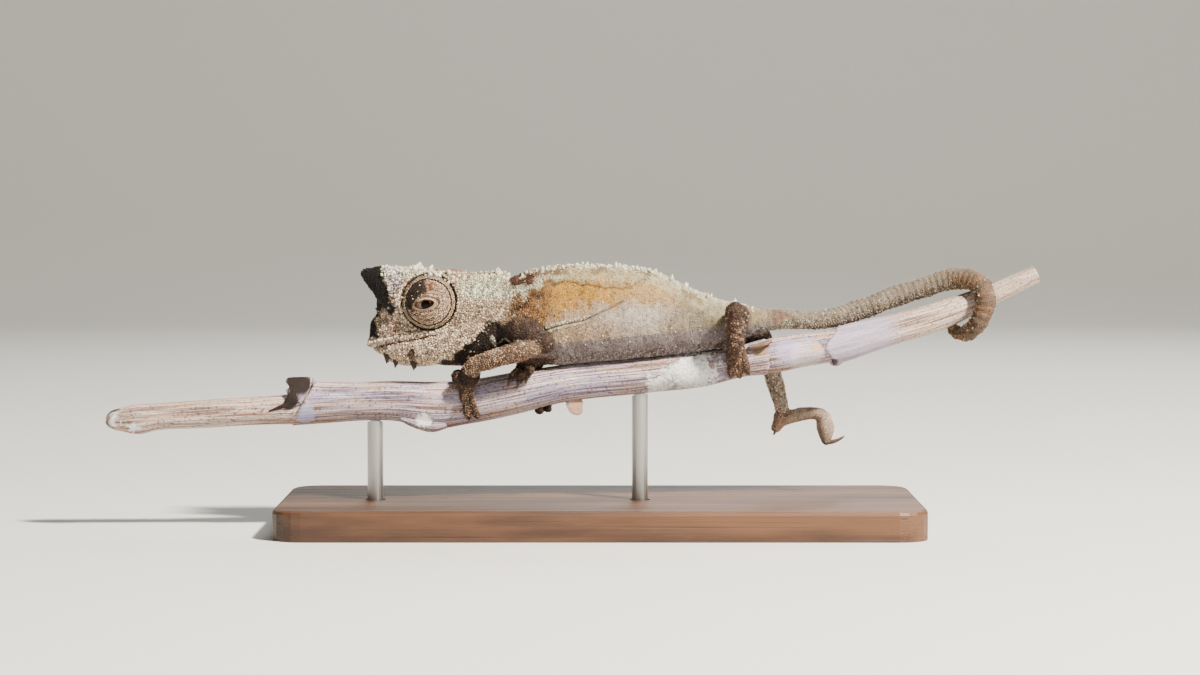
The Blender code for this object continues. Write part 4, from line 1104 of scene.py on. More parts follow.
def feet_layers(at):
    """The brown feet on the stem, in shade under the body, and the pale one that hangs free."""
    points = at.points
    stem_gap, _ = off_course(points, WHOLE_STEM, 0.5)
    near_feet = np.zeros(len(points))
    for foot_x, palm_turn, palm_radius, lobes in FEET.values():
        near_feet = np.maximum(near_feet, 1.0 - soft(np.abs(points[:, 0] - foot_x), 1.8, 2.6))
    on_stem = (1.0 - soft(stem_gap, 1.3, 1.9)) * (1.0 - soft(at.x, 15.4, 16.0))
    on_stem = on_stem * near_feet * (1.0 - soft(at.z, 18.4, 19.0))
    flecks = soft(wave(points, 0.9, 41), 0.2, 0.9) * 0.5
    dim = 1.0 - 0.6 * bell(points[:, 0] + 6.2, 1.9)
    foot_colour = lay(np.array(tint(112, 92, 80)), [(tint(184, 150, 126), flecks)]) * dim[:, None]
    gap, along = off_course(points, FREE_FOOT, 0.4)
    heel = bell(np.hypot(points[:, 0] - 18.2, points[:, 2] - 9.9), 0.9)
    free_colour = lay(np.array(tint(206, 186, 170)), [(tint(196, 164, 144), heel)])
    free_colour = free_colour * (0.5 + 0.5 * soft(points[:, 2], 8.0, 9.6))[:, None]
    off_middle = np.abs(at.y) > 1.0
    return [
        (foot_colour, on_stem),
        (free_colour, 1.0 - soft(gap, 0.2, 0.6)),
        (CREAM_WHITE, at.oval(-10.5, 18.8, 0.3, 0.7, 0.3) * off_middle),
        (CREAM_WHITE, at.oval(-8.6, 19.0, 1.4, 0.18, 0.4) * off_middle),
    ]


def marking(points):
    at = Places(points)
    layers = flank_layers(at) + back_layers(at) + head_layers(at) + [tail_layer(at)]
    layers += [limb_layer(points, name, limb_line) for name, limb_line in ANIMAL_LIMBS]
    layers += feet_layers(at) + [(tint(46, 34, 30), lips_line(points))]
    colour = lay(np.array(BEIGE), layers)
    rear = soft(at.x, -9.0, -6.0)
    mottle = 0.7 + (0.13 - 0.07 * rear) * wave(points, 0.8, 51) + (0.08 - 0.04 * rear) * wave(points, 2.6, 52)
    mottle += 0.17 * head_share(at)
    return vivid(colour * mottle[:, None])


def add_tint(mesh, colours):
    layer = mesh.attributes.new("marking", "FLOAT_COLOR", "POINT")
    with_alpha = np.hstack([colours, np.ones((len(colours), 1))])
    layer.data.foreach_set("color", with_alpha.astype(np.float32).ravel())


def hide_paint(name, roughness, crumb):
    """Horny hide: the marking, broken up by fine speckles and paler worn tops."""
    paint = Paint(name, roughness=roughness, Specular_IOR_Level=0.3)
    ground = paint.add("ShaderNodeAttribute", {"attribute_name": "marking"}, output="Color")
    grains = paint.clouds(paint.place(), 4200.0, detail=3.0)
    colour = paint.mix(grains.between(0.5, 0.72) * 0.55, ground, tint(120, 98, 84), "MULTIPLY")
    colour = paint.mix((1.0 - grains).between(0.55, 0.75) * 0.5, colour, tint(150, 146, 140), "DODGE")
    paint.base(colour)
    paint.rough(grains * 0.25 + (roughness - 0.12))
    paint.bump(grains, crumb, 0.8)
    return paint.material


skin_colours = marking(spots)
# Painted shade: the hide between the scales is darkened, more on the head than behind it.
skin_painted_shade = 0.2 + 0.3 * soft(spots[:, 0], -10.0, -6.0)
add_tint(skin.data, skin_colours * skin_painted_shade[:, None])
skin_paint = hide_paint("hide_between_scales", 0.85, 0.00004)
FLESH_NODES = (
    "head", "neck", "torso", "tail_base", "tail_middle", "tail_bend", "tail_tip",
    "foreleg_left_upper", "foreleg_left_lower", "forefoot_left",
    "foreleg_right_upper", "foreleg_right_lower", "forefoot_right",
    "hindleg_left_thigh", "hindleg_left_shin", "hindfoot_left",
    "hindleg_right_thigh", "hindleg_right_shin", "hindfoot_right",
)
skin_tree = BVHTree.FromPolygons([tuple(v) for v in spots], [tuple(f.vertices) for f in skin.data.polygons])


# Scales are close-set horny granules over the whole skin, larger and rougher on the head.
# Each is a low dome of its own with its root sunk in the hide, packed from large to small and
# joined into one mesh to a part of the body.
def dome(sides, rings):
    """One scale as a ring extruded up through rings of (radius, height) and closed on top."""
    work = bmesh.new()
    ring = bmesh.ops.create_circle(work, segments=sides, radius=rings[0][0])["verts"]
    bmesh.ops.translate(work, verts=ring, vec=(0.0, 0.0, rings[0][1]))
    edges = list(work.edges)
    for (low, _), (wide, high) in zip(rings, rings[1:]):
        ring, edges = next_ring(work, edges)
        for vert in ring:
            vert.co = Vector((vert.co.x * wide / low, vert.co.y * wide / low, high))
    bmesh.ops.contextual_create(work, geom=edges)
    bmesh.ops.recalc_face_normals(work, faces=work.faces)
    mesh = bpy.data.meshes.new("template")
    work.to_mesh(mesh)
    work.free()
    return mesh


GRANULE = dome(6, [(1.0, -0.5), (0.62, 0.8)])
FINE_GRANULE = dome(6, [(1.0, -0.5), (0.9, 0.3), (0.46, 0.85)])
THORN = dome(7, [(1.0, -0.5), (0.82, 0.12), (0.45, 0.52), (0.06, 1.0)])
BULB = dome(8, [(0.9, -0.5), (1.0, 0.15), (0.84, 0.55), (0.5, 0.85), (0.12, 1.0)])
BAKE_PATCH = 0.0014


def copy_points(shape, roots, ups, sizes, heights, leans, draw):
    """The points of every copy of a template, each copy turned, stretched and roughened by chance."""
    count = len(roots)
    ups = ups / np.linalg.norm(ups, axis=1)[:, None]
    helper = np.where(np.abs(ups[:, 2:3]) < 0.9, np.array([[0.0, 0.0, 1.0]]), np.array([[1.0, 0.0, 0.0]]))
    first = np.cross(ups, helper)
    first /= np.linalg.norm(first, axis=1)[:, None]
    second = np.cross(ups, first)
    turn = draw.uniform(0.0, 2.0 * math.pi, count)[:, None]
    across = first * np.cos(turn) + second * np.sin(turn)
    over = np.cross(ups, across)
    stretch = draw.uniform(0.78, 1.28, count)[:, None, None]
    wide = sizes[:, None, None]
    tall = heights[:, None, None]
    rough = draw.uniform(0.84, 1.16, (count, len(shape), 1))
    points = roots[:, None, :] + across[:, None, :] * shape[None, :, 0:1] * wide * stretch * rough
    points = points + over[:, None, :] * shape[None, :, 1:2] * wide / stretch * rough
    points = points + ups[:, None, :] * shape[None, :, 2:3] * tall
    if leans is not None:
        rise = np.clip(shape[:, 2], 0.0, 1.0) ** 2
        points = points + leans[:, None, :] * rise[None, :, None] * tall
    return points


def array_mesh(
    name, template, roots, ups, sizes, heights, colours, places, seed, leans=None, root_shade=0.38
):
    """Copies of one template joined into a mesh, each with its own size, turn, tone and bake patch."""
    count = len(roots)
    shape = read(template.vertices, "co", 3)
    loops = read(template.loops, "vertex_index", kind=np.int32)
    sides = np.array([face.loop_total for face in template.polygons], dtype=np.int32)
    points = copy_points(shape, roots, ups, sizes, heights, leans, np.random.default_rng(seed))
    mesh = bpy.data.meshes.new(name)
    mesh.vertices.add(count * len(shape))
    mesh.vertices.foreach_set("co", points.ravel())
    mesh.loops.add(count * len(loops))
    stride = (np.arange(count) * len(shape))[:, None]
    mesh.loops.foreach_set("vertex_index", (loops[None, :] + stride).astype(np.int32).ravel())
    starts = np.concatenate(([0], np.cumsum(np.tile(sides, count))[:-1])).astype(np.int32)
    mesh.polygons.add(count * len(sides))
    mesh.polygons.foreach_set("loop_start", starts)
    mesh.update(calc_edges=True)
    layer = mesh.uv_layers.new(name="OFBake")
    patch = places[:, None, :] + shape[None, loops, 0:2] * BAKE_PATCH
    layer.data.foreach_set("uv", np.clip(patch, 0.0, 1.0).astype(np.float32).ravel())
    # Painted shade: each copy grows darker towards its root, down to root_shade of its colour.
    low = np.clip((shape[:, 2] + 0.5) / 1.2, 0.0, 1.0) ** 1.5
    shade = root_shade + (1.0 - root_shade) * low
    add_tint(mesh, (colours[:, None, :] * shade[None, :, None]).reshape(-1, 3))
    piece = bpy.data.objects.new(name, mesh)
    bpy.context.scene.collection.objects.link(piece)
    return piece


SOWING_CELL = 0.28
SCALE_ROOM = 0.88
NEAR_CELLS = [(a, b, c) for a in (-1, 0, 1) for b in (-1, 0, 1) for c in (-1, 0, 1)]
SCALE_TRIES = 900000
HEAD_TO, NECK_TO, NECK_FROM_HEIGHT = -9.2, -5.8, 20.8
CHEEK_FROM, CROWN_FROM = 19.9, 23.6
SHOULDER_TO, FLANK_TO, RUMP_TO = -2.5, 3.5, 15.0


def is_free(grid, cell, spot, reach):
    """Whether a scale has room among those already in its cell and in the ones round it."""
    i, j, k = cell
    x, y, z = spot
    for a, b, c in NEAR_CELLS:
        for other_x, other_y, other_z, other_reach in grid.get((i + a, j + b, k + c), ()):
            room = (reach + other_reach) * SCALE_ROOM
            if (other_x - x) ** 2 + (other_y - y) ** 2 + (other_z - z) ** 2 < room * room:
                return False
    return True


def sow(seed, radius_of, tries):
    """Roots packed over the skin, the large scales first and the small ones in what is left between."""
    draw = np.random.default_rng(seed)
    faces = skin.data.polygons
    centres = read(faces, "center", 3)
    facing = read(faces, "normal", 3)
    areas = read(faces, "area")
    chosen = draw.choice(len(faces), size=tries, p=areas / areas.sum())
    roots = centres[chosen] + draw.uniform(-0.5, 0.5, (tries, 3)) * SKIN_CELL
    roots -= facing[chosen] * np.sum((roots - centres[chosen]) * facing[chosen], axis=1)[:, None]
    rank = np.linspace(1.0, 0.0, tries)
    radii = radius_of(roots, rank)
    grid = {}
    kept = []
    cells = np.floor(roots / SOWING_CELL).astype(int).tolist()
    for number, (cell, spot, reach) in enumerate(zip(cells, roots.tolist(), radii.tolist())):
        if reach > 0.0 and is_free(grid, cell, spot, reach):
            grid.setdefault(tuple(cell), []).append((*spot, reach))
            kept.append(number)
    return roots[kept], facing[chosen][kept], chosen[kept], radii[kept]


def on_limbs(points):
    near = np.full(len(points), 1e9)
    for name, limb_line in ANIMAL_LIMBS:
        gap, along = off_course(points, limb_line, 0.4)
        near = np.minimum(near, np.where(along > 1.4, gap, 1e9))
    stem_gap, _ = off_course(points, WHOLE_STEM, 0.5)
    return np.maximum(1.0 - soft(near, 0.1, 0.5), 1.0 - soft(stem_gap, 1.3, 1.9))


def scale_radius(points, rank):
    limb = on_limbs(points)
    rear = np.where(points[:, 2] > NECK_FROM_HEIGHT, -6.0, -9.0)
    head = (1.0 - soft(points[:, 0] - rear, -1.5, 1.5)) * (1.0 - limb)
    small = 0.054 - 0.002 * head + 0.022 * limb
    spread = 0.028 + 0.05 * head + 0.03 * limb
    radius = small + spread * rank ** (6.0 + 6.0 * head)
    stem_gap, _ = off_course(points, WHOLE_STEM, 0.5)
    radius = np.where(stem_gap < 0.25, 0.0, radius)
    radius = np.where((lips_line(points) > 0.55) & (radius > 0.1), 0.0, radius)
    hidden = (off_eye(points) < UNDER_TURRET) & (np.abs(points[:, 1]) > 2.0)
    return np.where(hidden, 0.0, radius)


roots, facing, faces, sizes = sow(17, scale_radius, SCALE_TRIES)
draw = np.random.default_rng(23)
count = len(roots)
x, z = roots[:, 0], roots[:, 2]
limb_share = on_limbs(roots)
on_head = (x + draw.normal(0.0, 0.5, count) < HEAD_TO) & (limb_share < 0.5)
on_neck = (x + draw.normal(0.0, 0.7, count) < NECK_TO) & (z > NECK_FROM_HEIGHT) & (limb_share < 0.5)
on_leg = limb_share > 0.6
rugged = on_head | on_neck
# Each scale has a tone of its own, and here and there one is pale and worn or dark.
tones = np.where(rugged | on_leg, draw.uniform(0.45, 1.5, count), draw.uniform(0.76, 1.24, count))
colours = marking(roots) * tones[:, None]
bright = colours.mean(axis=1) > 0.12
pale_share = np.where(rugged, np.where(on_head, 0.07, 0.16), 0.015)
pale = (draw.uniform(size=count) < pale_share) & bright
colours[pale] = colours[pale] * 0.5 + np.array(CREAM_WHITE) * 0.4
dark_share = np.where(on_head | on_leg, 0.2, 0.05 + 0.15 * (1.0 - soft(x, -3.0, 5.0)))
dark = draw.uniform(size=count) < np.where(on_neck & ~on_head, 0.34, dark_share)
colours[dark] = colours[dark] * 0.36
shady_front = on_head & (colours.mean(axis=1) < 0.05)
heights = sizes * np.where(rugged, draw.uniform(0.5, 1.2, count), draw.uniform(0.25, 0.55, count))
heights[on_leg] = sizes[on_leg] * draw.uniform(0.4, 0.85, on_leg.sum())
heights[shady_front] *= 0.4
leans = draw.normal(size=(count, 3)) * np.where(on_head, 0.35, 0.1)[:, None]
scale_paint = hide_paint("horny_scales", 0.72, 0.000025)
parts = {
    "scales_head_crown": on_head & (z >= CROWN_FROM),
    "scales_head_cheek": on_head & (z >= CHEEK_FROM) & (z < CROWN_FROM),
    "scales_head_jaw": on_head & (z < CHEEK_FROM),
    "scales_shoulder": ~on_head & (x < SHOULDER_TO),
    "scales_flank": (x >= SHOULDER_TO) & (x < FLANK_TO),
    "scales_rump": (x >= FLANK_TO) & (x < RUMP_TO),
    "scales_tail": x >= RUMP_TO,
}
for name, chosen in parts.items():
    of_head = name.startswith("scales_head")
    piece = array_mesh(
        name,
        FINE_GRANULE if of_head else GRANULE,
        roots[chosen],
        facing[chosen],
        sizes[chosen],
        heights[chosen],
        np.clip(colours[chosen], 0.0, 1.0),
        face_places[faces[chosen]],
        seed=31,
        leans=leans[chosen],
        root_shade=0.24 if of_head else 0.46,
    )
    finish_piece(piece, scale_paint)


# Tubercles and spines stand out of the scales where the crests, lips, cheek edge and back carry them.
# They are horny cones with sunk roots, in rows that follow each crest and vary in size.
thorns = {"crest": [], "head": [], "back": [], "limbs": []}
draw = random.Random(7)


def on_skin(start, way):
    spot, normal, face, reach = skin_tree.ray_cast(Vector(start), Vector(way))
    return (spot, normal, face) if spot else None


def from_side(hand, x, z):
    return on_skin((x, hand * 9.0, z), (0, -hand, 0))


def from_above(x, y):
    return on_skin((x, y, 34.0), (0, 0, -1))


def from_below(x, y):
    return on_skin((x, y, 8.0), (0, 0, 1))


def peak_at(x, peaks, width):
    """The height of a row of points at x, each a soft peak of its own."""
    return sum(tall * math.exp(-(((x - at) / width) ** 2)) for at, tall in peaks.items())


def plant(group, hit, lean, size, height, pale=0.5, shade=CREAM_WHITE):
    """Note one tubercle; those of the crests are rounded, the others pointed."""
    if hit:
        spot, normal, face = hit
        up = (normal + Vector(lean)).normalized()
        thorns[group].append((spot, up, size, height, pale, shade, face))


def along_line(line, spacing):
    """Points along a bent line in side view, with the share of the way that each one has come."""
    reach = [math.dist(a, b) for a, b in zip(line, line[1:])]
    whole = sum(reach)
    count = max(2, int(whole / spacing))
    for k in range(count + 1):
        left = whole * k / count
        for hop, (start, end) in zip(reach, zip(line, line[1:])):
            if left <= hop or end == line[-1]:
                share = min(left / hop, 1.0)
                x, z = (start[n] + (end[n] - start[n]) * share for n in (0, 1))
                yield k / count, x, z
                break
            left -= hop


CREST_PEAKS = {-16.6: 0.6, -18.3: 0.4, -15.9: 0.36, -15.1: 0.3, -20.8: 0.16, -10.2: 0.36, -9.4: 0.3}
VISOR_EDGE = [(-21.35, 26.1), (-21.1, 25.2), (-20.85, 24.2), (-20.3, 22.9), (-20.1, 22.0)]
VISOR_FRONT = [(-23.6, 25.7), (-23.1, 24.6), (-22.5, 23.5), (-22.1, 22.5)]
CHEEK_EDGE = [(-9.6, 22.1), (-10.4, 21.2), (-11.6, 20.3), (-13.0, 19.1), (-14.4, 18.1), (-15.8, 17.4)]
JAW_EDGE = [(-22.4, 17.9), (-21.2, 17.2), (-19.6, 16.75), (-17.6, 16.65), (-15.9, 17.2)]
UPPER_LIP = [(-23.0, 18.75), (-22.0, 19.05), (-20.8, 19.3), (-19.4, 19.55), (-17.6, 19.8)]
LOWER_LIP = [(-22.8, 17.75), (-21.2, 18.1), (-19.6, 18.5), (-17.8, 18.75)]
CHIN_SPIKES = [(-21.15, 1.3, 0.46, 0.85), (-20.35, 1.5, 0.38, 0.75), (-18.55, 1.75, 0.48, 0.85)]
BACK_PEAKS = (-5.9, -1.2, 1.7, 3.9, 5.6, 7.1, 8.5, 13.5, 10.9)
EYE_RING = 66
CASQUE_SCATTER, HEAD_SCATTER, BACK_SCATTER, FLANK_SCATTER = 34, 150, 70, 120
LIMB_SCATTER, TAIL_SCATTER = 70, 240
BIG_LIP_SCALES = [(-21.9, 19.1, 0.32), (-22.45, 18.55, 0.3), (-22.9, 18.8, 0.22), (-20.3, 19.5, 0.2)]


def plant_crests(hand):
    """Rows of rounded tubercles along the top of the head and over the casque, with taller peaks."""
    for out in (1.7, 2.35, 2.9):
        for share, x, _ in along_line([(-21.5, 0.0), (-13.6, 0.0)], 0.46):
            hit = from_above(x + draw.uniform(-0.14, 0.14), hand * (out + draw.uniform(-0.2, 0.2)))
            peak = peak_at(x, CREST_PEAKS, 0.28)
            height = draw.uniform(0.1, 0.24) + (peak if out > 2.0 else 0.0)
            root = draw.uniform(0.1, 0.19) + peak * 0.3
            lean = (draw.uniform(-0.3, 0.3), hand * 0.3, 0.6)
            plant("crest", hit, lean, root, height, draw.uniform(0.35, 0.9))
    for out in (0.8, 1.6, 2.4):
        for share, x, _ in along_line([(-13.4, 0.0), (-9.2, 0.0)], 0.5):
            x += draw.uniform(-0.15, 0.15)
            hit = from_above(x, hand * (out - share * 0.5 + draw.uniform(-0.2, 0.2)))
            peak = peak_at(x, CREST_PEAKS, 0.3)
            height = draw.uniform(0.1, 0.22) + peak
            root = draw.uniform(0.1, 0.18) + peak * 0.3
            plant("crest", hit, (0.25, 0.0, 0.7), root, height, draw.uniform(0.2, 0.8))


def plant_visor(hand):
    """The edge of the brow visor, the ring round the eye and the visor's front, dark with painted shadow."""
    for shift, spacing in ((0.05, 0.3), (0.4, 0.32), (0.8, 0.4), (1.2, 0.5)):
        for share, x, z in along_line([(px + shift, pz) for px, pz in VISOR_EDGE], spacing):
            hit = from_side(hand, x + draw.uniform(-0.16, 0.16), z + draw.uniform(-0.16, 0.16))
            shade = CREAM_WHITE if draw.random() < 0.5 else tint(206, 196, 204)
            lean = (draw.uniform(-0.8, 0.1), 0.0, draw.uniform(-0.3, 0.4))
            size, height = draw.uniform(0.11, 0.22), draw.uniform(0.1, 0.3)
            plant("head", hit, lean, size, height, draw.uniform(0.2, 0.85), shade)
    for k in range(EYE_RING):
        turn = 2.0 * math.pi * (k + draw.uniform(-0.25, 0.25)) / EYE_RING
        reach = 2.98 + draw.uniform(-0.05, 0.05)
        hit = from_side(hand, EYE_AT.x + reach * math.cos(turn), EYE_AT.z + reach * math.sin(turn))
        root = draw.uniform(0.1, 0.15)
        plant("crest", hit, (0.0, 0.0, 0.1), root, root * draw.uniform(0.6, 1.2), draw.uniform(0.1, 0.6))
    for share, x, z in along_line(VISOR_FRONT, 0.34):
        hit = on_skin((x - 2.5, hand * (2.0 - 0.2 * share), z), (1, 0, 0))
        plant("head", hit, (-0.4, 0.0, 0.2), 0.13, draw.uniform(0.05, 0.14), 0.1, DARK_BROWN)


def plant_cheek(hand):
    """Long spikes under the chin, and the fringes of the cheek and the jaw."""
    # The chin spikes are dark brown, darkened further towards black as painted shade.
    for x, out, root, length in CHIN_SPIKES:
        hit = from_below(x, hand * out)
        plant("head", hit, (0.05, 0.0, -3.0), root, length, 0.95, tint(34, 22, 17))
    for share, x, z in along_line(CHEEK_EDGE, 0.36):
        hit = from_side(hand, x + draw.uniform(-0.1, 0.1), z)
        size, height = draw.uniform(0.12, 0.2), draw.uniform(0.12, 0.36)
        plant("head", hit, (0.9, 0.0, -0.4), size, height, draw.uniform(0.1, 0.6))
    for share, x, z in along_line(JAW_EDGE, 0.42):
        hit = from_below(x, hand * draw.uniform(1.2, 1.7))
        plant("head", hit, (0.0, hand * 0.2, -0.6), draw.uniform(0.12, 0.17), draw.uniform(0.1, 0.18), 0.3)


def plant_lips(hand):
    """The rows of both lips, largest at the snout, and the few big ones there."""
    for line, low, high in ((UPPER_LIP, 0.15, 0.24), (LOWER_LIP, 0.12, 0.18)):
        for share, x, z in along_line(line, 0.33):
            hit = from_side(hand, x, z)
            big = high if share < 0.35 else low
            size = draw.uniform(low, high) * (1.25 if share < 0.3 else 0.85)
            plant("head", hit, (-0.2, 0.0, 0.0), size, big, 0.6 if share < 0.35 else draw.uniform(0.0, 0.3))
    for x, z, size in BIG_LIP_SCALES:
        plant("head", from_side(hand, x, z), (-0.3, 0.0, 0.1), size, size * 1.1, 0.9)


def scatter_head(hand):
    """Loose ones on the casque's side and the cheek, clear of the eye and the neck."""
    for _ in range(CASQUE_SCATTER):
        x, z = -11.6 + draw.gauss(0.0, 1.2), 24.2 + draw.gauss(0.0, 0.6)
        hit = from_side(hand, x, z)
        size, height = draw.uniform(0.1, 0.19), draw.uniform(0.06, 0.18)
        plant("head", hit, (0.1, 0.0, 0.3), size, height, draw.uniform(0.5, 0.9))
    for _ in range(HEAD_SCATTER):
        x, z = draw.uniform(-22.4, -9.6), draw.uniform(17.0, 23.0)
        hit = from_side(hand, x, z)
        if math.hypot(x - EYE_AT.x, z - EYE_AT.z) > 3.0 and z > 22.0 + 1.2 * (x + 9.5) - 0.5:
            size, height = draw.uniform(0.1, 0.18), draw.uniform(0.06, 0.16)
            plant("head", hit, (0.0, 0.0, 0.2), size, height, draw.uniform(0.0, 0.5))


def plant_back(hand):
    """Two rows of low spines along the back with lesser ones beside them."""
    for out, spacing, low, high in ((0.3, 0.6, 0.06, 0.2), (0.75, 0.6, 0.08, 0.24), (1.4, 0.9, 0.05, 0.13)):
        for share, x, _ in along_line([(-7.4, 0.0), (15.2, 0.0)], spacing):
            x += draw.uniform(-0.15, 0.15) + hand * 0.1
            hit = from_above(x, hand * (out * (1.0 - 0.35 * share) + draw.uniform(-0.1, 0.1)))
            peak = max(math.exp(-(((x - at) / 0.34) ** 2)) for at in BACK_PEAKS) if 0.5 < out < 1.0 else 0.0
            height = draw.uniform(low, high) + draw.uniform(0.35, 0.65) * peak
            root = draw.uniform(0.09, 0.17) + 0.22 * peak
            lean, pale = (draw.uniform(-0.2, 0.3), hand * 0.15, 0.9), draw.uniform(0.5, 0.95)
            plant("back", hit, lean, root, height, pale, GREEN_WHITE)
    for _ in range(BACK_SCATTER):
        x, out = draw.uniform(-8.6, 6.0), draw.uniform(0.1, 1.0)
        hit = from_above(x, hand * out)
        shade = GREEN_WHITE if draw.random() < 0.75 else DARK_BROWN
        root = draw.uniform(0.1, 0.2)
        height, pale = root * draw.uniform(0.8, 1.6), draw.uniform(0.4, 0.9)
        plant("crest", hit, (0.0, hand * 0.2, 0.4), root, height, pale, shade)


def plant_flank(hand):
    """The pale ridge below the back, the line behind the elbow, and loose ones."""
    for share, x, z in along_line(BACK_LINE, 0.36):
        hit = from_side(hand, x, z + draw.uniform(-0.12, 0.12))
        fade = 1.0 if x < -3.5 else 0.55
        size, pale = draw.uniform(0.1, 0.19) * fade, draw.uniform(0.5, 0.95) * fade
        plant("back", hit, (0.0, 0.0, 0.5), size, size * draw.uniform(0.8, 1.5), pale, GREEN_WHITE)
    for share, x, z in along_line([(px, pz + 0.22) for px, pz in SIDE_LINE[:3]], 0.26):
        hit = from_side(hand, x, z + draw.uniform(-0.12, 0.12))
        plant("back", hit, (0.0, 0.0, 0.2), draw.uniform(0.09, 0.13), draw.uniform(0.07, 0.13), 0.8)
    for _ in range(FLANK_SCATTER):
        x, z = draw.uniform(-6.5, 15.0), draw.uniform(18.5, 25.5)
        pale = draw.uniform(0.0, 0.7)
        shade = CREAM_WHITE if draw.random() < 0.6 else DARK_BROWN
        size = draw.uniform(0.09, 0.15)
        hit = from_side(hand, x, z)
        plant("back", hit, (0.0, 0.0, 0.2), size, size * draw.uniform(0.8, 1.5), pale, shade)


def place_round(course, start, end):
    """A random place on a course's line, and a random way out from it."""
    centre, way, side, up, sizes = course.at(draw.uniform(start, end))
    angle = draw.uniform(0.0, 2.0 * math.pi)
    return centre, way, side * math.cos(angle) + up * math.sin(angle)


HEAD_PARTS = (plant_crests, plant_visor, plant_cheek, plant_lips, scatter_head)
for hand in (-1, 1):
    for plant_part in (*HEAD_PARTS, plant_back, plant_flank):
        plant_part(hand)
for name, limb_line in ANIMAL_LIMBS:
    for _ in range(LIMB_SCATTER):
        centre, way, out = place_round(limb_line, 1.5, limb_line.length)
        size = draw.uniform(0.07, 0.13)
        shade = CREAM_WHITE if draw.random() < 0.2 else DARK_BROWN
        hit = on_skin(centre + out * 2.6, -out)
        if hit and (hit[0] - centre).length < 1.9:
            height, pale = size * draw.uniform(0.9, 1.6), draw.uniform(0.2, 0.7)
            plant("limbs", hit, (0.0, 0.0, 0.0), size, height, pale, shade)
for _ in range(TAIL_SCATTER):
    centre, way, out = place_round(TRUNK, TRUNK.reach(15.0), TRUNK.length - 1.0)
    size = draw.uniform(0.08, 0.14)
    hit = on_skin(centre + out * 1.9, -out)
    if hit and (hit[0] - centre).length < 1.7:
        plant("limbs", hit, way * 0.5, size, size * draw.uniform(0.9, 1.7), draw.uniform(0.0, 0.5))
GROUPS = (
    ("crest", "tubercles_crest"),
    ("head", "tubercles_head"),
    ("back", "spines_back"),
    ("limbs", "tubercles_limbs"),
)
for group, name in GROUPS:
    rows = thorns[group]
    bases = np.array([row[0] for row in rows])
    pale = np.array([row[4] for row in rows])[:, None]
    shades = marking(bases) * (1.0 - pale) + np.array([row[5] for row in rows]) * pale
    piece = array_mesh(
        name,
        BULB if group == "crest" else THORN,
        bases,
        np.array([row[1] for row in rows]),
        np.array([row[2] for row in rows]),
        np.array([row[3] for row in rows]),
        np.clip(shades, 0.0, 1.0),
        face_places[[row[6] for row in rows]],
        seed=43,
    )
    finish_piece(piece, scale_paint)
finish_piece(skin, skin_paint, FLESH_NODES)


# Each eye is wrapped in fused lids: a turret of skin in rings, with one almond opening whose
# pale rim stands up round the eyeball.
LID_TILT = math.radians(13.0)
LID_CENTRE = (-0.36, -0.2)
LID_SIZE = (1.02, 0.5)
FOLDS = (2.27, 2.7)
ROUND_FROM = 1.65
TURRET_SIDES = 132


def turret_height(reach):
    dome = TURRET_RISE * math.sqrt(max(0.0, 1.0 - min(reach / TURRET_RADIUS, 1.0) ** 2))
    ripple = 0.02 * math.cos(2.0 * math.pi * reach / 0.27) * soft(np.array(reach), 1.2, 1.8)
    creases = sum(0.15 * math.exp(-(((reach - fold) / 0.05) ** 2)) for fold in FOLDS)
    return TURRET_SEAT + dome + float(ripple) - creases


def lid_edge(angle, grow):
    """A point on the almond, in the turret's own plane, drawn to a corner at either end."""
    across = (LID_SIZE[0] + grow) * math.copysign(abs(math.cos(angle)) ** 0.9, math.cos(angle))
    high = (LID_SIZE[1] + grow) * math.copysign(abs(math.sin(angle)) ** 1.25, math.sin(angle))
    return (
        LID_CENTRE[0] + across * math.cos(LID_TILT) - high * math.sin(LID_TILT),
        LID_CENTRE[1] + across * math.sin(LID_TILT) + high * math.cos(LID_TILT),
    )


def lid_reach(u, w, margin):
    """1 on the almond grown by a margin and less inside it, and how high over its middle line."""
    u, w = u - LID_CENTRE[0], w - LID_CENTRE[1]
    long = u * math.cos(LID_TILT) + w * math.sin(LID_TILT)
    tall = -u * math.sin(LID_TILT) + w * math.cos(LID_TILT)
    return np.hypot(long / (LID_SIZE[0] + margin), tall / (LID_SIZE[1] + margin)), tall


def turret_mesh(name, hand):
    work = bmesh.new()
    turn, ring, edges = first_ring(work, TURRET_SIDES)
    steps = [(-0.08, -0.5), (-0.04, -0.14), (0.0, 0.02), (0.05, 0.03), (0.1, -0.03), (0.22, -0.06)]
    stations = [("lid", grow, rise) for grow, rise in steps]
    stations += [("skin", k / 50.0, 0.0) for k in range(1, 51)]
    stations.append(("root", 1.0, 0.0))
    for number, (kind, value, rise) in enumerate(stations):
        if number:
            ring, edges = next_ring(work, edges)
        for vert in ring:
            angle = vert[turn]
            inner = lid_edge(angle, value if kind == "lid" else 0.3)
            share = 0.0 if kind == "lid" else min(value / 0.4, 1.0)
            outward = max(0.0, (value - 0.4) / 0.6) if kind != "lid" else 0.0
            reach = ROUND_FROM + (TURRET_RADIUS - ROUND_FROM) * outward
            across = inner[0] + (reach * math.cos(angle) - inner[0]) * share
            high = inner[1] + (reach * math.sin(angle) - inner[1]) * share
            depth = turret_height(math.hypot(across, high)) + rise + SEAT_SLOPE * across
            if kind == "root":
                depth = TURRET_SEAT - 0.9
            vert.co = (EYE_AT.x + across, hand * depth, EYE_AT.z + high)
    bmesh.ops.recalc_face_normals(work, faces=work.faces)
    middle = max(work.faces, key=lambda f: abs(f.calc_center_median().y))
    if middle.normal.y * hand < 0.0:
        bmesh.ops.reverse_faces(work, faces=work.faces)
    return join_meshes(name, [work])


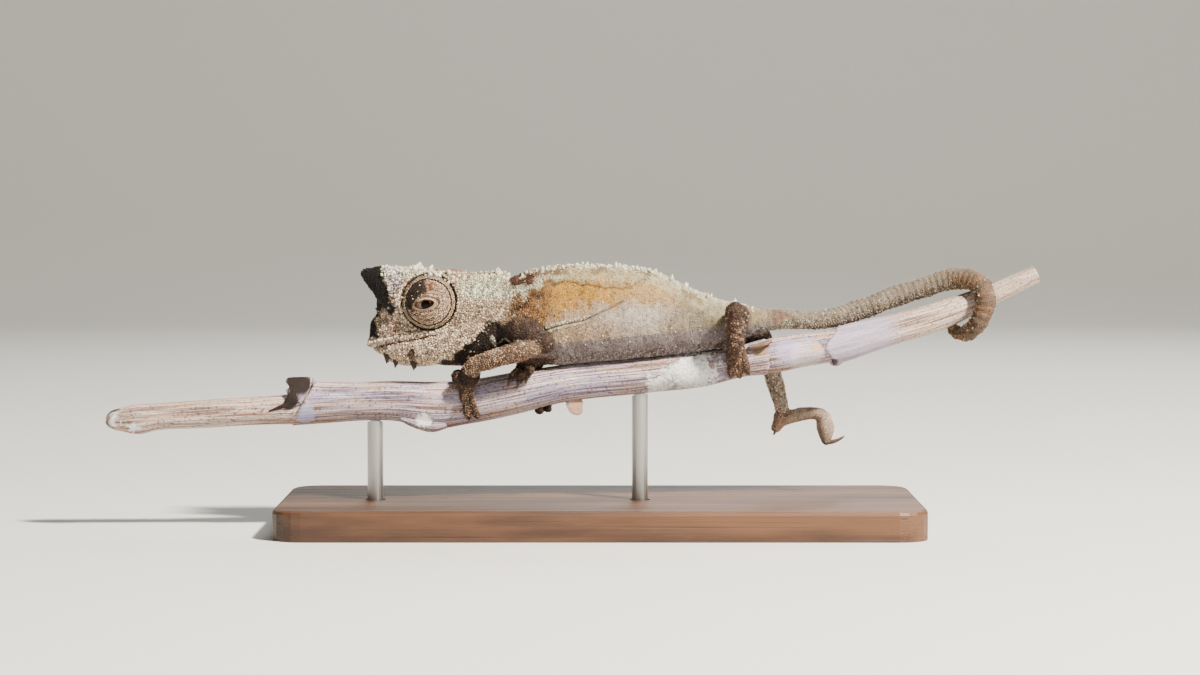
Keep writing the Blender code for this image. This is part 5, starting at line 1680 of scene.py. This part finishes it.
def turret_marking(points):
    u = points[:, 0] - EYE_AT.x + wave(points, 0.9, 61) * 0.08
    w = points[:, 2] - EYE_AT.z + wave(points, 0.9, 62) * 0.08
    reach = np.hypot(u, w)
    true_reach = off_eye(points) + wave(points, 0.8, 63) * 0.025
    colour = np.tile(np.array(tint(206, 180, 160)), (len(points), 1))

    def paint(shade, mask):
        return colour + (np.array(shade) - colour) * np.clip(mask, 0.0, 1.0)[:, None]

    colour = paint(tint(220, 192, 172), soft(u, 0.2, 1.4) * (1.0 - soft(reach, 2.0, 2.5)))
    # A wedge of painted shadow on the front of the turret.
    turn = np.degrees(np.arctan2(w, u))
    wedge = np.maximum(soft(turn, 94.0, 106.0), 1.0 - soft(turn, -166.0, -150.0))
    wedge *= soft(reach, 0.7, 1.2) * (1.0 - soft(reach, 2.15, 2.3))
    colour = paint(tint(36, 28, 20), wedge * 0.95)
    streak = bell(u - 0.25, 0.4) * soft(w, 0.95, 1.3) * (1.0 - soft(w, 1.8, 2.1))
    colour = paint(tint(150, 96, 68), streak * 0.85)
    colour = paint(tint(206, 190, 168), soft(reach, 2.2, 2.3) * 0.5)
    # Painted shade along the turret's creases.
    for fold in FOLDS:
        colour = paint(tint(18, 12, 10), bell(true_reach - fold, 0.075) * 1.1)
    lid, _ = lid_reach(u, w, 0.1)
    wrinkles = np.cos(2.0 * math.pi * (lid * 2.3 + 0.22 * wave(points, 0.7, 67)))
    wrinkled = soft(lid, 1.2, 1.4) * (1.0 - soft(reach, 1.9, 2.1))
    colour = paint(tint(50, 34, 27), soft(wrinkles, 0.3, 1.0) * wrinkled * 0.6)
    colour = paint(tint(214, 190, 170), bell(lid - 0.99, 0.07) * 0.9)
    colour = paint(tint(48, 32, 26), bell(lid - 1.3, 0.1) * 0.8)
    mottle = 0.82 + 0.22 * wave(points, 0.45, 64) * wave(points, 1.1, 66)
    return vivid(colour * mottle[:, None])


def turret_painted_shade(points):
    """Painted shade: dark between the beads, lighter on the bare rim of the lids and lightest on the rim's
    upper half.
    """
    lid, tall = lid_reach(points[:, 0] - EYE_AT.x, points[:, 2] - EYE_AT.z, 0.1)
    rim = 1.0 - soft(lid, 1.0, 1.12)
    return (0.2 + rim * (0.2 + 0.5 * soft(tall, -0.1, 0.3)))[:, None]


turret_paint = hide_paint("lid_hide", 0.7, 0.00003)
eye_paint = Paint("eye", roughness=0.3, Coat_Weight=0.05, Coat_Roughness=0.05, Specular_IOR_Level=0.06)
PUPIL_AT = (-17.2, 22.72)
EYE_RADIUS = 1.15
EYE_OUT = 3.45
# Rings of beads round each turret: how far out, the gap from bead to bead, their radius.
BEAD_RINGS = [(2.12, 0.17, 0.09), (2.38, 0.16, 0.085), (2.56, 0.17, 0.09)]
BEAD_TRIES = 16000
RIM_BEADS = 34
flat = eye_paint.add("ShaderNodeSeparateXYZ", inputs={"Vector": eye_paint.place()})
along_x = Link(eye_paint, flat.socket.node.outputs["X"]) - PUPIL_AT[0] * MM
along_z = Link(eye_paint, flat.socket.node.outputs["Z"]) - PUPIL_AT[1] * MM
pupil_reach = (along_x * along_x + along_z * along_z) ** 0.5
rays = eye_paint.clouds(eye_paint.place(), 9000.0, detail=3.0)
lid_flesh = eye_paint.mix(rays.between(0.35, 0.7), tint(92, 68, 60), tint(160, 130, 120))
# The rear corner of the opening is darkened with painted shadow.
lid_flesh = eye_paint.mix(along_x.between(0.0003, 0.0007), lid_flesh, tint(62, 42, 34))
gold = eye_paint.mix(rays, tint(34, 24, 20), tint(92, 66, 50))
ring = eye_paint.mix(pupil_reach.between(0.00047, 0.00052), gold, lid_flesh)
eye_paint.base(eye_paint.mix(pupil_reach.between(0.00039, 0.00042), tint(8, 7, 7), ring))
for word, hand in (("left", -1), ("right", 1)):
    turret = turret_mesh("lids_" + word, hand)
    turret_spots = read(turret.data.vertices, "co", 3)
    add_tint(turret.data, turret_marking(turret_spots) * turret_painted_shade(turret_spots))
    turret_faces = [tuple(face.vertices) for face in turret.data.polygons]
    tree = BVHTree.FromPolygons([tuple(v) for v in turret_spots], turret_faces)
    beads = []
    for reach, gap, size in BEAD_RINGS:
        count = int(2.0 * math.pi * reach / gap)
        for k in range(count):
            angle = 2.0 * math.pi * (k + draw.uniform(-0.2, 0.2)) / count
            out = reach + draw.gauss(0.0, 0.035)
            beads.append((out * math.cos(angle), out * math.sin(angle), size * draw.uniform(0.7, 1.2)))
    for _ in range(BEAD_TRIES):
        angle, reach = draw.uniform(0.0, 2.0 * math.pi), 2.62 * math.sqrt(draw.random())
        if abs(reach - FOLDS[0]) < 0.07:
            continue
        u, w = reach * math.cos(angle), reach * math.sin(angle)
        if lid_reach(u, w, 0.24)[0] < 1.0:
            continue
        size = draw.uniform(0.05, 0.1)
        if all(math.hypot(u - bead[0], w - bead[1]) > (size + bead[2]) * 0.76 for bead in beads):
            beads.append((u, w, size))
    for k in range(RIM_BEADS):
        u, w = lid_edge(2.0 * math.pi * k / RIM_BEADS, 0.17)
        beads.append((u, w, draw.uniform(0.05, 0.075)))
    roots, ups, sizes = [], [], []
    for u, w, size in beads:
        start = Vector((EYE_AT.x + u, hand * 9.0, EYE_AT.z + w))
        spot, normal, face, gap = tree.ray_cast(start, Vector((0, -hand, 0)))
        if spot:
            roots.append(spot)
            ups.append(normal if normal.y * hand > 0 else -normal)
            sizes.append(size)
    roots, sizes = np.array(roots), np.array(sizes)
    tones = np.random.default_rng(5).uniform(0.65, 1.35, len(roots))[:, None]
    shades = turret_marking(roots) * tones
    white = np.random.default_rng(6).uniform(size=len(roots)) < 0.05
    shades[white] = np.array(CREAM_WHITE)
    across = 0.25 + 0.25 * (1 + hand) + (roots[:, 0] - EYE_AT.x) * 0.08
    places = np.stack([across, 0.5 + (roots[:, 2] - EYE_AT.z) * 0.08], axis=1)
    shades = np.clip(shades, 0.0, 1.0)
    ups = np.array(ups)
    heights = sizes * 0.8
    piece = array_mesh("lid_beads_" + word, FINE_GRANULE, roots, ups, sizes, heights, shades, places, seed=9)
    finish_piece(piece, scale_paint)
    finish_piece(turret, turret_paint, ("eye_turret_" + word,))
    work = bmesh.new()
    bmesh.ops.create_uvsphere(work, u_segments=48, v_segments=24, radius=EYE_RADIUS)
    bmesh.ops.translate(work, verts=work.verts, vec=(PUPIL_AT[0], hand * EYE_OUT, PUPIL_AT[1]))
    finish_piece(join_meshes("eye_" + word, [work]), eye_paint.material, ("eyeball_" + word,))


# The claws are short hooks of dark horn, one to a toe, whose points press on the stem.
# Each is a small curved cone that starts inside the toe's tip.
CLAW_LENGTH = 0.7
UP = Vector((0.0, 0.0, 1.0))
# The claws of the foot that hangs free: tip, way, length and root radius of each pair.
FREE_CLAWS = (
    ((23.4, 6.0, 8.25), (0.97, 0.15, 0.1), 1.6, 0.24),
    ((17.9, 5.9, 9.5), (-0.3, 0.2, -0.93), 0.8, 0.18),
)


def claw(tip, way, inward, length, root):
    rows = []
    for share, radius in ((-0.25, 1.0), (0.3, 0.72), (0.7, 0.4), (1.0, 0.1)):
        spot = tip + way * length * share + inward * length * 0.3 * max(share, 0.0) ** 2
        rows.append((*spot, *([root * radius] * 3)))
    side = way.cross(inward)
    side = side.normalized() if side.length > 0.1 else Vector((1.0, 0.0, 0.0))
    return body_mesh(Course(rows, side), 10, 0.1, (0.0, 0.02))


claws = []
for toe in toes:
    tip, way, side, up, sizes = toe.at(toe.length)
    inward = (stem_at(tip.x)[0] - tip).normalized()
    pointing = (way * 0.95 + inward * 0.1).normalized()
    claws.append(claw(tip + way * sizes[0] * 0.6, pointing, inward, CLAW_LENGTH, 0.2))
for out in (-1, 1):
    for (x, y, z), (ahead, aside, rise), length, root in FREE_CLAWS:
        pointing = Vector((ahead, out * aside, rise))
        claws.append(claw(Vector((x, y + out * 0.3, z)), pointing, UP, length, root))
claw_paint = Paint("claw_horn", roughness=0.42)
streak = claw_paint.clouds(claw_paint.place(), 5000.0, detail=3.0)
claw_paint.base(claw_paint.mix(streak, tint(38, 26, 20), tint(96, 70, 52)))
claw_paint.bump(streak, 0.00002, 0.5)
finish_piece(join_meshes("claws", claws), claw_paint.material)
